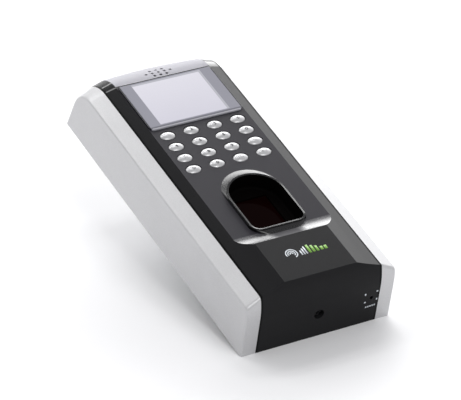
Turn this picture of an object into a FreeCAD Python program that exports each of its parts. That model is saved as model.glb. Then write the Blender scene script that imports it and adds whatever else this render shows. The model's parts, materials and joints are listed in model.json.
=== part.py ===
import FreeCAD, Part
import math
import os
import re
import sys

import Sketcher

# Fingerprint scanner terminal, upright as it hangs on its wall.  Millimetres.
# +Z is up, the front faces -Y and the wall is the plane Y = 0.  The origin is the middle of the
# wall face.  Heights named ..._height or ..._z in the sheet are measured up from the bottom end.

SIZES = {
    # overall shape of the casing
    "body_width": 80.0,
    "body_height": 183.0,
    "side_depth": 27.65,  # wall to the front edge of the flat side face
    "cap_width": 7.6,  # width of a silver side cap
    "cap_rise": 3.35,  # how far its slanted front comes forward
    "strip_width": 6.4,  # slanted black strip between cap and keypad panel
    "strip_rise": 1.8,
    "top_radius": 15.8,  # side face's round between front and top
    "top_slope": 15.1,  # degrees, fall of the top end towards the front
    "top_crown": 2.6,  # bulge of the silver top trim at its middle
    "end_flat": 20.0,  # straight part of the bottom end, from the wall
    "end_rise": 1.1,
    "end_radius": 30.5,  # its round towards the front
    "wall": 2.0,
    "top_wall": 1.6,
    "cap_wall": 2.0,
    "seam": 0.15,
    # lower plateau and its ramp
    "plateau_half": 19.3,
    "plateau_rise": 2.1,
    "ramp_top": 41.5,
    "ramp_length": 7.8,
    # top trim
    "trim_bottom": 159.9,
    "trim_wall": 1.4,
    "trim_back": 4.0,
    "sound_hole": 0.75,
    "sound_pitch": 3.35,
    "sound_row": 2.65,
    "sound_height": 164.3,
    # display
    "window_half": 25.6,
    "window_low": 123.9,
    "window_high": 159.2,
    "window_round": 2.5,
    "window_edge": 0.4,
    "window_thick": 1.6,
    "window_proud": 0.8,
    "window_gap": 0.2,
    "tape_thick": 0.3,
    "view_half": 19.0,  # visible area of the display
    "view_low": 127.2,
    "view_high": 157.6,
    "view_border": 2.4,
    "display_thick": 1.6,
    "light_thick": 1.7,
    "frame_sheet": 0.5,
    # keypad
    "key_across": 12.84,
    "key_web": 2.59,  # panel left between the holes of two rows
    "key_below": 2.615,  # window's lower edge to the top row's upper edge
    "key_half_wide": 3.85,  # the keys are ovals
    "key_half_tall": 2.8,
    "key_gap": 0.25,
    "key_proud": 0.75,  # crown of a key over the panel
    "key_edge_sunk": 0.25,  # rim of a key under the panel
    "key_crown": 2.0,  # depth half-axis of the dome's ellipsoid
    "dome_spare": 0.05,  # leaves a short upright rim round the dome
    "flange_extra": 0.65,
    "flange_thick": 0.8,
    "key_travel": 0.7,
    "key_slack": 0.1,
    "pad_radius": 2.5,
    "pad_high": 0.4,
    "mat_thick": 1.0,
    "key_board_thick": 1.2,
    "mat_border": 4.6,
    "key_post": 1.8,
    "key_post_side": 6.64,  # outer column's middle to the screw posts
    "key_post_beyond": 3.165,  # outer row's middle to the screw posts
    # finger guide and sensor
    "arch_half": 13.8,
    "arch_low": 42.6,
    "arch_high": 78.6,
    "arch_corner": 4.0,
    "guide_wall": 1.4,
    "guide_rise": 1.6,
    "lip": 1.15,
    "flank_side": 0.2,
    "flank_top": 3.65,
    "flank_bottom": 3.5,
    "foot_round": 6.85,  # how much rounder the collar's foot is than the opening
    "guide_depth": 6.8,
    "guide_floor": 1.6,
    "glass_half": 9.0,
    "glass_low": 47.0,
    "glass_high": 71.0,
    "glass_gap": 0.15,
    "glass_step": 1.0,
    "glass_sunk": 0.8,
    "prism_deep": 8.0,
    "holder_wall": 2.8,
    "holder_deep": 10.9,
    "ear_thick": 2.0,
    "ear_out": 4.6,  # side of the glass to the holder's screws
    "lens_radius": 4.0,
    "lens_long": 13.0,
    "lamp": 1.5,
    # boards and what stands on them
    "board_half": 28.0,
    "board_low": 16.0,
    "board_high": 150.0,
    "board_front": 11.6,
    "board_thick": 1.6,
    "post_radius": 3.0,
    "post_x": 26.0,
    "post_low": 60.0,
    "post_high": 124.0,
    # rear cover, bosses and screws
    "cover_back": 2.0,
    "cover_thick": 2.0,
    "boss_radius": 3.4,
    "boss_x": 25.0,
    "boss_low": 26.0,
    "boss_high": 166.0,
    "screw_radius": 1.25,
    "screw_head": 2.8,
    "screw_long": 10.0,
    "small_screw": 0.9,
    "key_screw_deep": 3.2,
    "ear_screw": 0.8,
    "ear_screw_long": 3.2,
    "small_head": 1.8,
    # wiring opening and its seal
    "wiring_half": 24.0,
    "wiring_low": 44.0,
    "wiring_high": 92.0,
    "seal_width": 2.0,
    # wall plate
    "plate_thick": 1.2,
    "plate_half": 29.0,
    "plate_low": 20.0,
    "plate_high": 160.0,
    "plate_hole": 2.25,
    "plate_hole_x": 20.0,
    "plate_hole_out": 50.0,
    "cable_half": 18.0,
    "cable_low": 48.0,
    "cable_high": 86.0,
    "hook_x": 14.0,
    "hook_half": 4.0,
    "hook_z": 150.0,
    "hook_lip": 4.0,
    "tab_half": 8.0,
    "tab_z": 8.4,
    # security screw in the bottom end
    "lock_y": 13.1,
    "lock_hole": 2.6,
    "lock_head": 2.4,
    "lock_shank": 1.45,
    "lock_seat": 5.5,
    "lock_boss": 4.6,
    # reset and tamper switches
    "reset_x": 28.2,
    "reset_y": 14.4,
    "pin_hole": 0.9,
    "reset_stem": 0.8,
    "tamper_x": 16.0,
    "tamper_z": 110.0,
    "tamper_stem": 1.2,
    "tamper_travel": 0.8,
    # loudspeaker
    "speaker_radius": 7.0,
    "speaker_thick": 4.0,
    "speaker_tilt": 36.0,
    "speaker_gasket": 0.35,
}

doc = FreeCAD.newDocument("FingerprintTerminal")
sheet = doc.addObject("Spreadsheet::Sheet", "Dims")
for row, (alias, value) in enumerate(SIZES.items(), start=1):
    sheet.set("A%d" % row, alias)
    sheet.set("B%d" % row, str(value))
    sheet.setAlias("B%d" % row, alias)
scratch = doc.addObject("Spreadsheet::Sheet", "Scratch")
doc.recompute()

nodes = []


def bound(text):
    """Write a sum of size names as an expression on the sheet."""
    return re.sub(r"[a-z][a-z_]*", lambda word: sheet_name(word.group(0)), text)


def sheet_name(word):
    return "Dims." + word if word in SIZES else word


def number(text):
    """Work a sum of size names out, for the first guess of a sketch and for tests."""
    scratch.set("A1", "=" + bound(text))
    scratch.recompute()
    return float(scratch.get("A1"))


# Places that many pieces share, as sums of size names.
PANEL = "(-(side_depth + cap_rise + strip_rise))"
INSIDE = "(%s + wall)" % PANEL
BASE = "(-body_height/2)"
CAP_X = "(body_width/2 - cap_width)"
STRIP_X = "(body_width/2 - cap_width - strip_width)"
FULL_RISE = "(cap_rise + strip_rise)"
KEY_DOWN = "(2*(key_half_tall + key_gap) + key_web)"
KEY_MIDDLE = "(window_low - key_below - key_half_tall - 1.5*%s)" % KEY_DOWN
KEY_POST_X = "(1.5*key_across + key_post_side)"
KEY_POST_OUT = "(1.5*%s + key_post_beyond)" % KEY_DOWN
TILT = "(top_slope*1deg)"
ARC_Y = "(top_radius - side_depth)"
FULL_RADIUS = "(top_radius + cap_rise + strip_rise)"
ARC_Z = "({h}/2 - {r}*cos({a}) - ({r}*sin({a}) - {y})*tan({a}))".format(
    h="body_height", r=FULL_RADIUS, a=TILT, y=ARC_Y
)
COVER_FRONT = "(-(cover_back + cover_thick))"
BOARD_BACK = "(-(board_front - board_thick))"
BOARD_FRONT = "(-board_front)"


def up(height):
    """Turn a height above the bottom end into a Z of the frame."""
    return "(%s + %s)" % (BASE, height)


# ---------------------------------------------------------------- helpers: solids


def box(name, x, y, z):
    """A block given by its (low, high) places along each axis."""
    solid = doc.addObject("Part::Box", name)
    for size, axis, (low, high) in zip(("Length", "Width", "Height"), "xyz", (x, y, z)):
        solid.setExpression(size, bound("(%s) - (%s)" % (high, low)))
        solid.setExpression("Placement.Base." + axis, bound(low))
    return solid


TURNS = {
    "x": FreeCAD.Rotation(FreeCAD.Vector(0, 1, 0), 90),
    "y": FreeCAD.Rotation(FreeCAD.Vector(1, 0, 0), -90),
    "z": FreeCAD.Rotation(),
}


def turn_and_place(solid, along, place):
    solid.Placement = FreeCAD.Placement(FreeCAD.Vector(), TURNS[along])
    for axis, text in zip("xyz", place):
        solid.setExpression("Placement.Base." + axis, bound(text))


def cylinder(name, along, place, radius, reach):
    """A round bar from place, reaching along the positive axis."""
    solid = doc.addObject("Part::Cylinder", name)
    solid.setExpression("Radius", bound(radius))
    solid.setExpression("Height", bound(reach))
    turn_and_place(solid, along, place)
    return solid


def cone(name, along, place, radius, end_radius, reach):
    solid = doc.addObject("Part::Cone", name)
    solid.setExpression("Radius1", bound(radius))
    solid.setExpression("Radius2", bound(end_radius))
    solid.setExpression("Height", bound(reach))
    turn_and_place(solid, along, place)
    return solid


def fuse(name, *solids):
    joined = doc.addObject("Part::MultiFuse", name)
    joined.Shapes = list(solids)
    return joined


def group(name, *solids):
    """Several separate solids that share one node."""
    together = doc.addObject("Part::Compound", name)
    together.Links = list(solids)
    return together


def cut(name, base, *tools):
    result = doc.addObject("Part::Cut", name)
    result.Base = base
    result.Tool = tools[0] if len(tools) == 1 else fuse(name + "Tools", *tools)
    return result


def common(name, first, second):
    result = doc.addObject("Part::Common", name)
    result.Base = first
    result.Tool = second
    return result


def node(label, thing):
    thing.Label = label
    nodes.append(thing)
    return thing


# ---------------------------------------------------------------- helpers: sketches


def draw(sketch, corners):
    """Draw a closed outline and pin every corner to the sheet.

    Each corner is (u, v, arc): arc is None where a straight edge leaves the corner, or
    (centre u, centre v, turn) where an arc does, with turn +1 anticlockwise and -1 clockwise.
    """
    places = [(number(u), number(v)) for u, v, arc in corners]
    first = sketch.GeometryCount
    ends = []
    for index, (u, v, arc) in enumerate(corners):
        start = places[index]
        finish = places[(index + 1) % len(corners)]
        if arc is None:
            sketch.addGeometry(Part.LineSegment(FreeCAD.Vector(*start, 0), FreeCAD.Vector(*finish, 0)))
            ends.append((1, 2))
            continue
        middle = (number(arc[0]), number(arc[1]))
        low, high = (start, finish) if arc[2] > 0 else (finish, start)
        from_angle = math.atan2(low[1] - middle[1], low[0] - middle[0])
        to_angle = math.atan2(high[1] - middle[1], high[0] - middle[0])
        if to_angle < from_angle:
            to_angle += 2 * math.pi
        radius = math.hypot(start[0] - middle[0], start[1] - middle[1])
        circle = Part.Circle(FreeCAD.Vector(*middle, 0), FreeCAD.Vector(0, 0, 1), radius)
        sketch.addGeometry(Part.ArcOfCircle(circle, from_angle, to_angle))
        ends.append((1, 2) if arc[2] > 0 else (2, 1))
    for index, (u, v, arc) in enumerate(corners):
        edge = first + index
        before = first + (index - 1) % len(corners)
        before_end = ends[(index - 1) % len(corners)][1]
        sketch.addConstraint(Sketcher.Constraint("Coincident", before, before_end, edge, ends[index][0]))
        pin(sketch, "DistanceX", edge, ends[index][0], u, places[index][0])
        pin(sketch, "DistanceY", edge, ends[index][0], v, places[index][1])
        if arc is not None:
            after = places[(index + 1) % len(corners)]
            flat = abs(after[0] - places[index][0]) > abs(after[1] - places[index][1])
            kind, text = ("DistanceY", arc[1]) if flat else ("DistanceX", arc[0])
            pin(sketch, kind, edge, 3, text, number(text))


def pin(sketch, kind, edge, point, text, value):
    place = sketch.addConstraint(Sketcher.Constraint(kind, -1, 1, edge, point, value))
    sketch.setExpression("Constraints[%d]" % place, bound(text))


def draw_circle(sketch, u, v, radius):
    circle = Part.Circle(FreeCAD.Vector(number(u), number(v), 0), FreeCAD.Vector(0, 0, 1), number(radius))
    edge = sketch.addGeometry(circle)
    pin(sketch, "DistanceX", edge, 3, u, number(u))
    pin(sketch, "DistanceY", edge, 3, v, number(v))
    place = sketch.addConstraint(Sketcher.Constraint("Radius", edge, number(radius)))
    sketch.setExpression("Constraints[%d]" % place, bound(radius))


def rounded(half, low, high, radius):
    """Outline of a rectangle, even about the middle, with rounded corners."""
    inner = "(%s) - (%s)" % (half, radius)
    bottom = "(%s) + (%s)" % (low, radius)
    top = "(%s) - (%s)" % (high, radius)
    return [
        ("-(%s)" % inner, low, None),
        (inner, low, (inner, bottom, 1)),
        (half, bottom, None),
        (half, top, (inner, top, 1)),
        (inner, high, None),
        ("-(%s)" % inner, high, ("-(%s)" % inner, top, 1)),
        ("-(%s)" % half, top, None),
        ("-(%s)" % half, bottom, ("-(%s)" % inner, bottom, 1)),
    ]


def arch(half, low, high, corner):
    """Outline of the finger opening: a half-round top on a base with rounded corners."""
    inner = "(%s) - (%s)" % (half, corner)
    bottom = "(%s) + (%s)" % (low, corner)
    spring = "(%s) - (%s)" % (high, half)
    return [
        ("-(%s)" % inner, low, None),
        (inner, low, (inner, bottom, 1)),
        (half, bottom, None),
        (half, spring, ("0", spring, 1)),
        ("0", high, ("0", spring, 1)),
        ("-(%s)" % half, spring, None),
        ("-(%s)" % half, bottom, ("-(%s)" % inner, bottom, 1)),
    ]


FACING_SIDE = FreeCAD.Rotation(0.5, 0.5, 0.5, 0.5)  # sketch u along Y and v along Z
FACING_FRONT = FreeCAD.Rotation(FreeCAD.Vector(1, 0, 0), 90)  # sketch u along X and v along Z


def side_sketch(name, x, corners):
    """A sketch in the plane at x, drawn in Y and Z."""
    sketch = doc.addObject("Sketcher::SketchObject", name)
    sketch.Placement = FreeCAD.Placement(FreeCAD.Vector(), FACING_SIDE)
    sketch.setExpression("Placement.Base.x", bound(x))
    draw(sketch, corners)
    return sketch


def front_sketch(name, y, corners):
    """A sketch in the plane at y, drawn in X and Z."""
    sketch = doc.addObject("Sketcher::SketchObject", name)
    sketch.Placement = FreeCAD.Placement(FreeCAD.Vector(), FACING_FRONT)
    sketch.setExpression("Placement.Base.y", bound(y))
    draw(sketch, corners)
    return sketch


def loft(name, sections):
    skin = doc.addObject("Part::Loft", name)
    skin.Sections = sections
    skin.Solid = True
    skin.Ruled = True
    return skin


def side_prism(name, corners, half):
    """A bar of constant side profile, even about the middle plane."""
    bar = doc.addObject("Part::Extrusion", name)
    bar.Base = side_sketch(name + "Outline", "-(%s)" % half, corners)
    bar.DirMode = "Custom"
    bar.Dir = FreeCAD.Vector(1, 0, 0)
    bar.Solid = True
    bar.setExpression("LengthFwd", bound("2*(%s)" % half))
    return bar


def role(body, name):
    return next(part for part in body.Origin.OriginFeatures if part.Role == name)


def plate(name, back, thick, corners, holes=()):
    """A PartDesign plate seen from the front: its back face at Y = back, padded forwards."""
    body = doc.addObject("PartDesign::Body", name)
    sketch = body.newObject("Sketcher::SketchObject", name + "Outline")
    sketch.AttachmentSupport = [(role(body, "XZ_Plane"), "")]
    sketch.MapMode = "FlatFace"
    sketch.setExpression("AttachmentOffset.Base.z", bound("-(%s)" % back))
    draw(sketch, corners)
    for u, v, radius in holes:
        draw_circle(sketch, u, v, radius)
    pad = body.newObject("PartDesign::Pad", name + "Pad")
    pad.Profile = sketch
    pad.setExpression("Length", bound(thick))
    return body


def add_pads(body, back, thick, circles):
    """Round pads on the front of a plate."""
    sketch = body.newObject("Sketcher::SketchObject", body.Name + "Rounds")
    sketch.AttachmentSupport = [(role(body, "XZ_Plane"), "")]
    sketch.MapMode = "FlatFace"
    sketch.setExpression("AttachmentOffset.Base.z", bound("-(%s)" % back))
    for u, v, radius in circles:
        draw_circle(sketch, u, v, radius)
    pad = body.newObject("PartDesign::Pad", body.Name + "RoundsPad")
    pad.Profile = sketch
    pad.setExpression("Length", bound(thick))
    return body


def soften(body, radius, wanted):
    """Round the edges of a body for which wanted(edge) is true."""
    doc.recompute()
    names = ["Edge%d" % i for i, edge in enumerate(body.Shape.Edges, start=1) if wanted(edge)]
    base = body.Tip
    fillet = body.newObject("PartDesign::Fillet", body.Name + "Fillet")
    fillet.Base = (base, names)
    fillet.setExpression("Radius", bound(radius))
    body.Tip = fillet
    return body


# ---------------------------------------------------------------- casing shape


def profile(rise, crown="0"):
    """Side profile of the casing, the given rise in front of the flat side face.

    The front edge, the round and the sloping top are tangent.  A crown lifts the top and widens
    the round and leaves the front edge where it is.
    """
    front = "(-(side_depth + %s))" % rise
    radius = "(top_radius + {r} + ({c})*cos({a})/(1 - sin({a})))".format(r=rise, c=crown, a=TILT)
    centre = "(%s + %s)" % (front, radius)
    end_y = "(%s - %s*sin(%s))" % (centre, radius, TILT)
    end_z = "(%s + %s*cos(%s))" % (ARC_Z, radius, TILT)
    top_z = "(%s - %s*tan(%s))" % (end_z, end_y, TILT)
    deep = "(%s - 10)" % BASE
    return [
        ("0", deep, None),
        ("0", top_z, None),
        (end_y, end_z, (centre, ARC_Z, 1)),
        (front, ARC_Z, None),
        (front, deep, None),
    ]


def envelope(name, inset):
    """The casing's outer shape, or the same shape a distance further in."""
    side = "(%s - %s)" % (CAP_X, inset)
    side_rise = "(cap_rise + strip_rise*(%s)/strip_width - (%s))" % (inset, inset)
    full = "(%s - (%s))" % (FULL_RISE, inset)
    return swept(name, [("-" + side, side_rise), ("-" + STRIP_X, full), (STRIP_X, full), (side, side_rise)])


def swept(name, stations):
    """A solid through side profiles of the given rise at each given x."""
    sections = []
    for index, (x, rise) in enumerate(stations):
        sections.append(side_sketch("%s%d" % (name, index), x, profile(rise)))
    return loft(name, sections)


def below_end(name, lift):
    """Everything under the bottom end, which is straight near the wall and round in front."""
    bend = "atan(end_rise/end_flat)"
    reach = "(side_depth + 12)"
    out = "asin(sin({b}) + ({r} - end_flat)/end_radius)".format(b=bend, r=reach)
    flat_z = "(%s + %s + end_rise)" % (BASE, lift)
    centre_y = "(-end_flat + end_radius*sin(%s))" % bend
    centre_z = "(%s + end_radius*cos(%s))" % (flat_z, bend)
    far_z = "(%s - end_radius*cos(%s))" % (centre_z, out)
    deep = "(%s - 12)" % BASE
    return side_prism(
        name,
        [
            ("5", deep, None),
            ("5", up(lift), None),
            ("0", up(lift), None),
            ("-end_flat", flat_z, (centre_y, centre_z, -1)),
            ("-" + reach, far_z, None),
            ("-" + reach, deep, None),
        ],
        "(body_width/2 + 5)",
    )


def plateau():
    """The raised lower field of the front, hollowed at its top into a ramp."""
    front = "(%s - plateau_rise)" % PANEL
    slab = loft(
        "PlateauSlab",
        [
            flat_sketch("PlateauFoot", "(%s - 10)" % BASE, front),
            flat_sketch("PlateauHead", up("ramp_top"), front),
        ],
    )
    radius = "((ramp_length*ramp_length + plateau_rise*plateau_rise)/(2*plateau_rise))"
    scoop = cylinder(
        "RampScoop",
        "x",
        ("-body_width/2", "%s - %s" % (PANEL, radius), up("ramp_top")),
        radius,
        "body_width",
    )
    return cut("Plateau", slab, scoop)


def flat_sketch(name, z, front):
    """Level section of the plateau: its sides carry on the slope of the black strips."""
    sketch = doc.addObject("Sketcher::SketchObject", name)
    sketch.setExpression("Placement.Base.z", bound(z))
    back = "(%s + 0.5)" % PANEL
    draw(
        sketch,
        [
            ("-" + STRIP_X, back, None),
            ("-" + STRIP_X, PANEL, None),
            ("-plateau_half", front, None),
            ("plateau_half", front, None),
            (STRIP_X, PANEL, None),
            (STRIP_X, back, None),
        ],
    )
    return sketch


def room(name, low_inset, high_inset):
    """The space inside the casing, which steps in behind the top trim."""
    lower = envelope(name + "Lower", low_inset)
    upper = envelope(name + "Upper", high_inset)
    wide = ("-body_width", "body_width")
    deep = ("-body_width", "5")
    level = up("trim_bottom")
    under = box(name + "LowerBox", wide, deep, ("-body_height", level))
    over = box(name + "UpperBox", wide, deep, (level, "body_height"))
    lower_part = common(name + "LowerPart", lower, under)
    upper_part = common(name + "UpperPart", upper, over)
    whole = fuse(name + "Whole", lower_part, upper_part)
    return cut(name, whole, below_end(name + "End", low_inset))


SOUND_ROWS = [(-1, 3), (0, 5), (1, 3)]


def sound_holes(name):
    """Eleven speaker holes in rows of three, five and three, in straight columns."""
    bars = []
    for level, count in SOUND_ROWS:
        for index in range(count):
            aside = index - (count - 1) / 2
            bars.append(
                cylinder(
                    "%s%d" % (name, len(bars)),
                    "y",
                    (
                        "%s*sound_pitch" % aside,
                        "%s - 6" % PANEL,
                        up("sound_height + %d*sound_row" % level),
                    ),
                    "sound_hole",
                    "16",
                )
            )
    return fuse(name, *bars)


def oval(name, place, wider, reach):
    """A bar with a key's oval outline, wider all round, reaching back from place."""
    outline = doc.addObject("Part::Ellipse", name + "Outline")
    outline.setExpression("MajorRadius", bound("key_half_wide + %s" % wider))
    outline.setExpression("MinorRadius", bound("key_half_tall + %s" % wider))
    outline.Placement = FreeCAD.Placement(FreeCAD.Vector(), FACING_FRONT)
    for axis, text in zip("xyz", place):
        outline.setExpression("Placement.Base." + axis, bound(text))
    bar = doc.addObject("Part::Extrusion", name)
    bar.Base = outline
    bar.DirMode = "Custom"
    bar.Dir = FreeCAD.Vector(0, 1, 0)
    bar.Solid = True
    bar.setExpression("LengthFwd", bound(reach))
    return bar


def key_places():
    """Middles of the sixteen keys, row by row from the top left."""
    for line in range(4):
        for column in range(4):
            across = "(%s*key_across)" % (column - 1.5)
            yield across, up("(%s + %s*%s)" % (KEY_MIDDLE, 1.5 - line, KEY_DOWN))


def guide_outer():
    """Outside of the finger guide: the proud collar and the tub behind it."""
    foot = arch(
        "(arch_half + lip + flank_side)",
        up("(arch_low - lip - flank_bottom)"),
        up("(arch_high + lip + flank_top)"),
        "(arch_corner + lip + foot_round)",
    )
    rim = arch("(arch_half + lip)", up("(arch_low - lip)"), up("(arch_high + lip)"), "(arch_corner + lip)")
    collar = loft(
        "GuideCollar",
        [
            front_sketch("GuideFoot", PANEL, foot),
            front_sketch("GuideRim", "(%s - guide_rise)" % PANEL, rim),
        ],
    )
    back = "(%s + guide_depth + guide_floor)" % PANEL
    tub = plate(
        "GuideTub",
        back,
        "(guide_depth + guide_floor)",
        arch(
            "(arch_half + guide_wall)",
            up("(arch_low - guide_wall)"),
            up("(arch_high + guide_wall)"),
            "(arch_corner + guide_wall)",
        ),
    )
    return fuse("GuideOutside", collar, tub)


def casing():
    """Front housing, the two side caps, the top trim and the finger guide."""
    half = "(body_width/2)"
    stations = [("-" + half, "0"), ("-" + CAP_X, "cap_rise"), ("-" + STRIP_X, FULL_RISE)]
    stations += [(STRIP_X, FULL_RISE), (CAP_X, "cap_rise"), (half, "0")]
    skin = swept("Skin", stations)
    whole = cut("CasingBlank", fuse("SkinAndPlateau", skin, plateau()), below_end("EndCut", "0"))

    middle = box(
        "MiddleBand", ("-" + CAP_X, CAP_X), ("-body_width", "5"), ("-body_height", "body_height")
    )
    core = common("HousingBlank", whole, middle)
    hollow = room("Hollow", "wall", "(trim_wall + top_wall)")
    trim_box = box(
        "TrimBox",
        ("-(%s)" % STRIP_X, STRIP_X),
        ("-body_width", "-trim_back"),
        (up("trim_bottom"), "body_height"),
    )
    under_trim = envelope("UnderTrim", "trim_wall")
    trim_space = cut("TrimSpace", trim_box, under_trim)
    guide = guide_outer()

    openings = [hollow, trim_space, guide, sound_holes("HousingSound"), plateau_hollow()]
    openings += window_recess()
    for index, (x, z) in enumerate(key_places()):
        openings.append(
            oval("KeyHole%d" % index, (x, "%s - 3" % PANEL, z), "key_gap", "wall + 6")
        )
    openings += [clip("SlotLeft%d" % i, -1, z, "0.3") for i, z in enumerate(CLIP_HEIGHTS)]
    openings += [clip("SlotRight%d" % i, 1, z, "0.3") for i, z in enumerate(CLIP_HEIGHTS)]
    shell = cut("HousingShell", core, *openings)

    bosses = fuse("Bosses", *boss_bars())
    trimmed = common("BossesInside", bosses, room("BossRoom", "(wall - 0.5)", "(trim_wall + 0.5)"))
    solid = fuse("HousingSolid", shell, cut("BossesClear", trimmed, guide))
    node("front_housing", cut("FrontHousing", solid, *screw_bores()))

    for side, sign in (("left", -1), ("right", 1)):
        inner, outer = ("-" + half, "-" + CAP_X) if sign < 0 else (CAP_X, half)
        blank = common(
            "CapBlank" + side,
            whole,
            box("CapBand" + side, (inner, outer), ("-body_width", "5"), ("-body_height", "body_height")),
        )
        shell = cut("CapShell" + side, blank, cap_hollow(side, sign))
        clips = [clip("Clip%s%d" % (side, i), sign, z, "0") for i, z in enumerate(CLIP_HEIGHTS)]
        node("side_cap_" + side, fuse("SideCap" + side, shell, *clips))

    crowned = [("-" + STRIP_X, "0"), ("-(%s)/2" % STRIP_X, "0.75*top_crown"), ("0", "top_crown")]
    crowned += [("(%s)/2" % STRIP_X, "0.75*top_crown"), (STRIP_X, "0")]
    dome = doc.addObject("Part::Loft", "CrownedSkin")
    dome.Sections = [
        side_sketch("Crown%d" % i, x, profile(FULL_RISE, crown)) for i, (x, crown) in enumerate(crowned)
    ]
    dome.Solid = True
    trim = common("TrimBlank", dome, trim_space)
    node("top_trim", cut("TopTrim", trim, sound_holes("TrimSound")))

    inside = plate(
        "GuideInside",
        "(%s + guide_depth)" % PANEL,
        "(guide_depth + guide_rise + 1)",
        arch("arch_half", up("arch_low"), up("arch_high"), "arch_corner"),
    )
    window = box(
        "GlassHole",
        ("-(glass_half + glass_gap)", "(glass_half + glass_gap)"),
        (PANEL, "0"),
        (up("(glass_low - glass_gap)"), up("(glass_high + glass_gap)")),
    )
    ears = []
    for index, x in enumerate(EAR_PLACES):
        ears.append(cylinder("EarHole%d" % index, "y", (x, PANEL, EAR_Z), "ear_screw", "side_depth"))
    node("finger_guide", cut("FingerGuide", guide, inside, window, *ears))


CLIP_HEIGHTS = ["30", "92", "150"]
EAR_Z = up("((glass_low + glass_high)/2)")
EAR_PLACES = ["-(glass_half + ear_out)", "(glass_half + ear_out)"]


def clip(name, sign, height, slack):
    """A snap tab of a side cap, or with slack the slot that it enters in the housing wall."""
    inner = "(%s - wall - 1)" % CAP_X
    outer = "(%s + cap_wall/2)" % CAP_X
    if sign < 0:
        inner, outer = "-" + outer, "-" + inner
    return box(
        name,
        (inner, outer),
        ("-(14 + %s)" % slack, "-(12.6 - %s)" % slack),
        (up("%s - 4 - %s" % (height, slack)), up("%s + 4 + %s" % (height, slack))),
    )


def cap_hollow(side, sign):
    """The hollow of a side cap, open towards the housing only."""
    out_x = "(body_width/2 - cap_wall)"
    out_rise = "(cap_rise*cap_wall/cap_width - cap_wall)"
    stations = [(CAP_X, "(cap_rise - cap_wall)"), (out_x, out_rise)]
    sections = []
    for index, (x, rise) in enumerate(stations):
        place = x if sign > 0 else "-" + x
        sections.append(side_sketch("CapHollow%s%d" % (side, index), place, profile(rise)))
    end = below_end("CapEnd" + side, "cap_wall")
    block = cut("CapHollowEnd" + side, loft("CapHollow" + side, sections), end)
    rim = box(
        "CapRim" + side,
        ("-body_width", "body_width"),
        ("-cap_wall", "5"),
        ("-body_height", "body_height"),
    )
    lug = [cap_lug(side, sign, index, height) for index, height in enumerate(CLIP_HEIGHTS)]
    return cut("CapHollowOpen" + side, block, rim, *lug)


def cap_lug(side, sign, index, height):
    """A block left standing in the cap, which carries a snap tab."""
    inner, outer = (CAP_X, "(body_width/2)")
    if sign < 0:
        inner, outer = "-" + outer, "-" + inner
    return box(
        "CapLug%s%d" % (side, index),
        (inner, outer),
        ("-16", "-11"),
        (up(height + " - 5"), up(height + " + 5")),
    )


def plateau_hollow():
    """Relief behind the lower plateau, so that its wall stays as thin as the rest."""
    return box(
        "PlateauHollow",
        ("-(plateau_half - wall)", "(plateau_half - wall)"),
        ("%s + 0.3" % PANEL, "%s + 1" % INSIDE),
        (up("12"), up("(ramp_top - ramp_length - 2)")),
    )


def window_recess():
    """The pocket of the display window and the opening behind it."""
    gap = "window_gap"
    pocket = plate(
        "WindowPocket",
        "(%s + window_thick - window_proud + tape_thick)" % PANEL,
        "5",
        rounded(
            "(window_half + %s)" % gap,
            up("(window_low - %s)" % gap),
            up("(window_high + %s)" % gap),
            "(window_round + %s)" % gap,
        ),
    )
    sight = box(
        "DisplayOpening",
        ("-(view_half + 0.5)", "(view_half + 0.5)"),
        ("%s - 1" % PANEL, "%s + 1" % INSIDE),
        (up("(view_low - 0.5)"), up("(view_high + 0.5)")),
    )
    return [pocket, sight]


def boss_places():
    for x in ("-boss_x", "boss_x"):
        for height in ("boss_low", "boss_high"):
            yield x, up(height)


def key_post_places():
    for side in ("-", ""):
        for end in ("-", "+"):
            yield side + KEY_POST_X, up("(%s %s %s)" % (KEY_MIDDLE, end, KEY_POST_OUT))


KEY_BOARD_FRONT = "(%s + key_slack + flange_thick + key_travel + key_slack + pad_high + mat_thick)" % INSIDE
KEY_BOARD_BACK = "(%s + key_board_thick)" % KEY_BOARD_FRONT


def boss_bars():
    """Posts of the front housing: for the cover, the keypad board and the security screw."""
    bars = []
    for index, (x, z) in enumerate(boss_places()):
        reach = "(%s) - (%s)" % (COVER_FRONT, PANEL)
        bars.append(cylinder("CoverBoss%d" % index, "y", (x, PANEL, z), "boss_radius", reach))
    for index, (x, z) in enumerate(key_post_places()):
        reach = "(%s) - (%s)" % (KEY_BOARD_FRONT, PANEL)
        bars.append(cylinder("KeyPost%d" % index, "y", (x, PANEL, z), "key_post", reach))
    bars.append(cylinder("LockBoss", "z", ("0", "-lock_y", BASE), "lock_boss", "(tab_z - seam)"))
    return bars


def screw_bores():
    """Screw holes of the front housing, the reset pinhole and the security screw's well."""
    bores = []
    for index, (x, z) in enumerate(boss_places()):
        place = (x, "%s - screw_long" % COVER_FRONT, z)
        bores.append(cylinder("CoverBore%d" % index, "y", place, "screw_radius", "screw_long"))
    for index, (x, z) in enumerate(key_post_places()):
        place = (x, "%s - key_screw_deep" % KEY_BOARD_FRONT, z)
        bores.append(cylinder("KeyBore%d" % index, "y", place, "small_screw", "key_screw_deep"))
    bores.append(cylinder("LockWell", "z", ("0", "-lock_y", "%s - 5" % BASE), "lock_hole", "(lock_seat + 5)"))
    bores.append(cylinder("LockBore", "z", ("0", "-lock_y", BASE), "(lock_shank + 0.2)", "tab_z"))
    bores.append(
        cylinder("ResetHole", "z", ("reset_x", "-reset_y", "%s - 5" % BASE), "pin_hole", "(wall + 8)")
    )
    return bores


# ---------------------------------------------------------------- display and keypad


def lies_at(edge, y):
    """Whether an edge lies all in the plane at this y."""
    return abs(edge.BoundBox.YMin - y) + abs(edge.BoundBox.YMax - y) < 0.01


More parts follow.
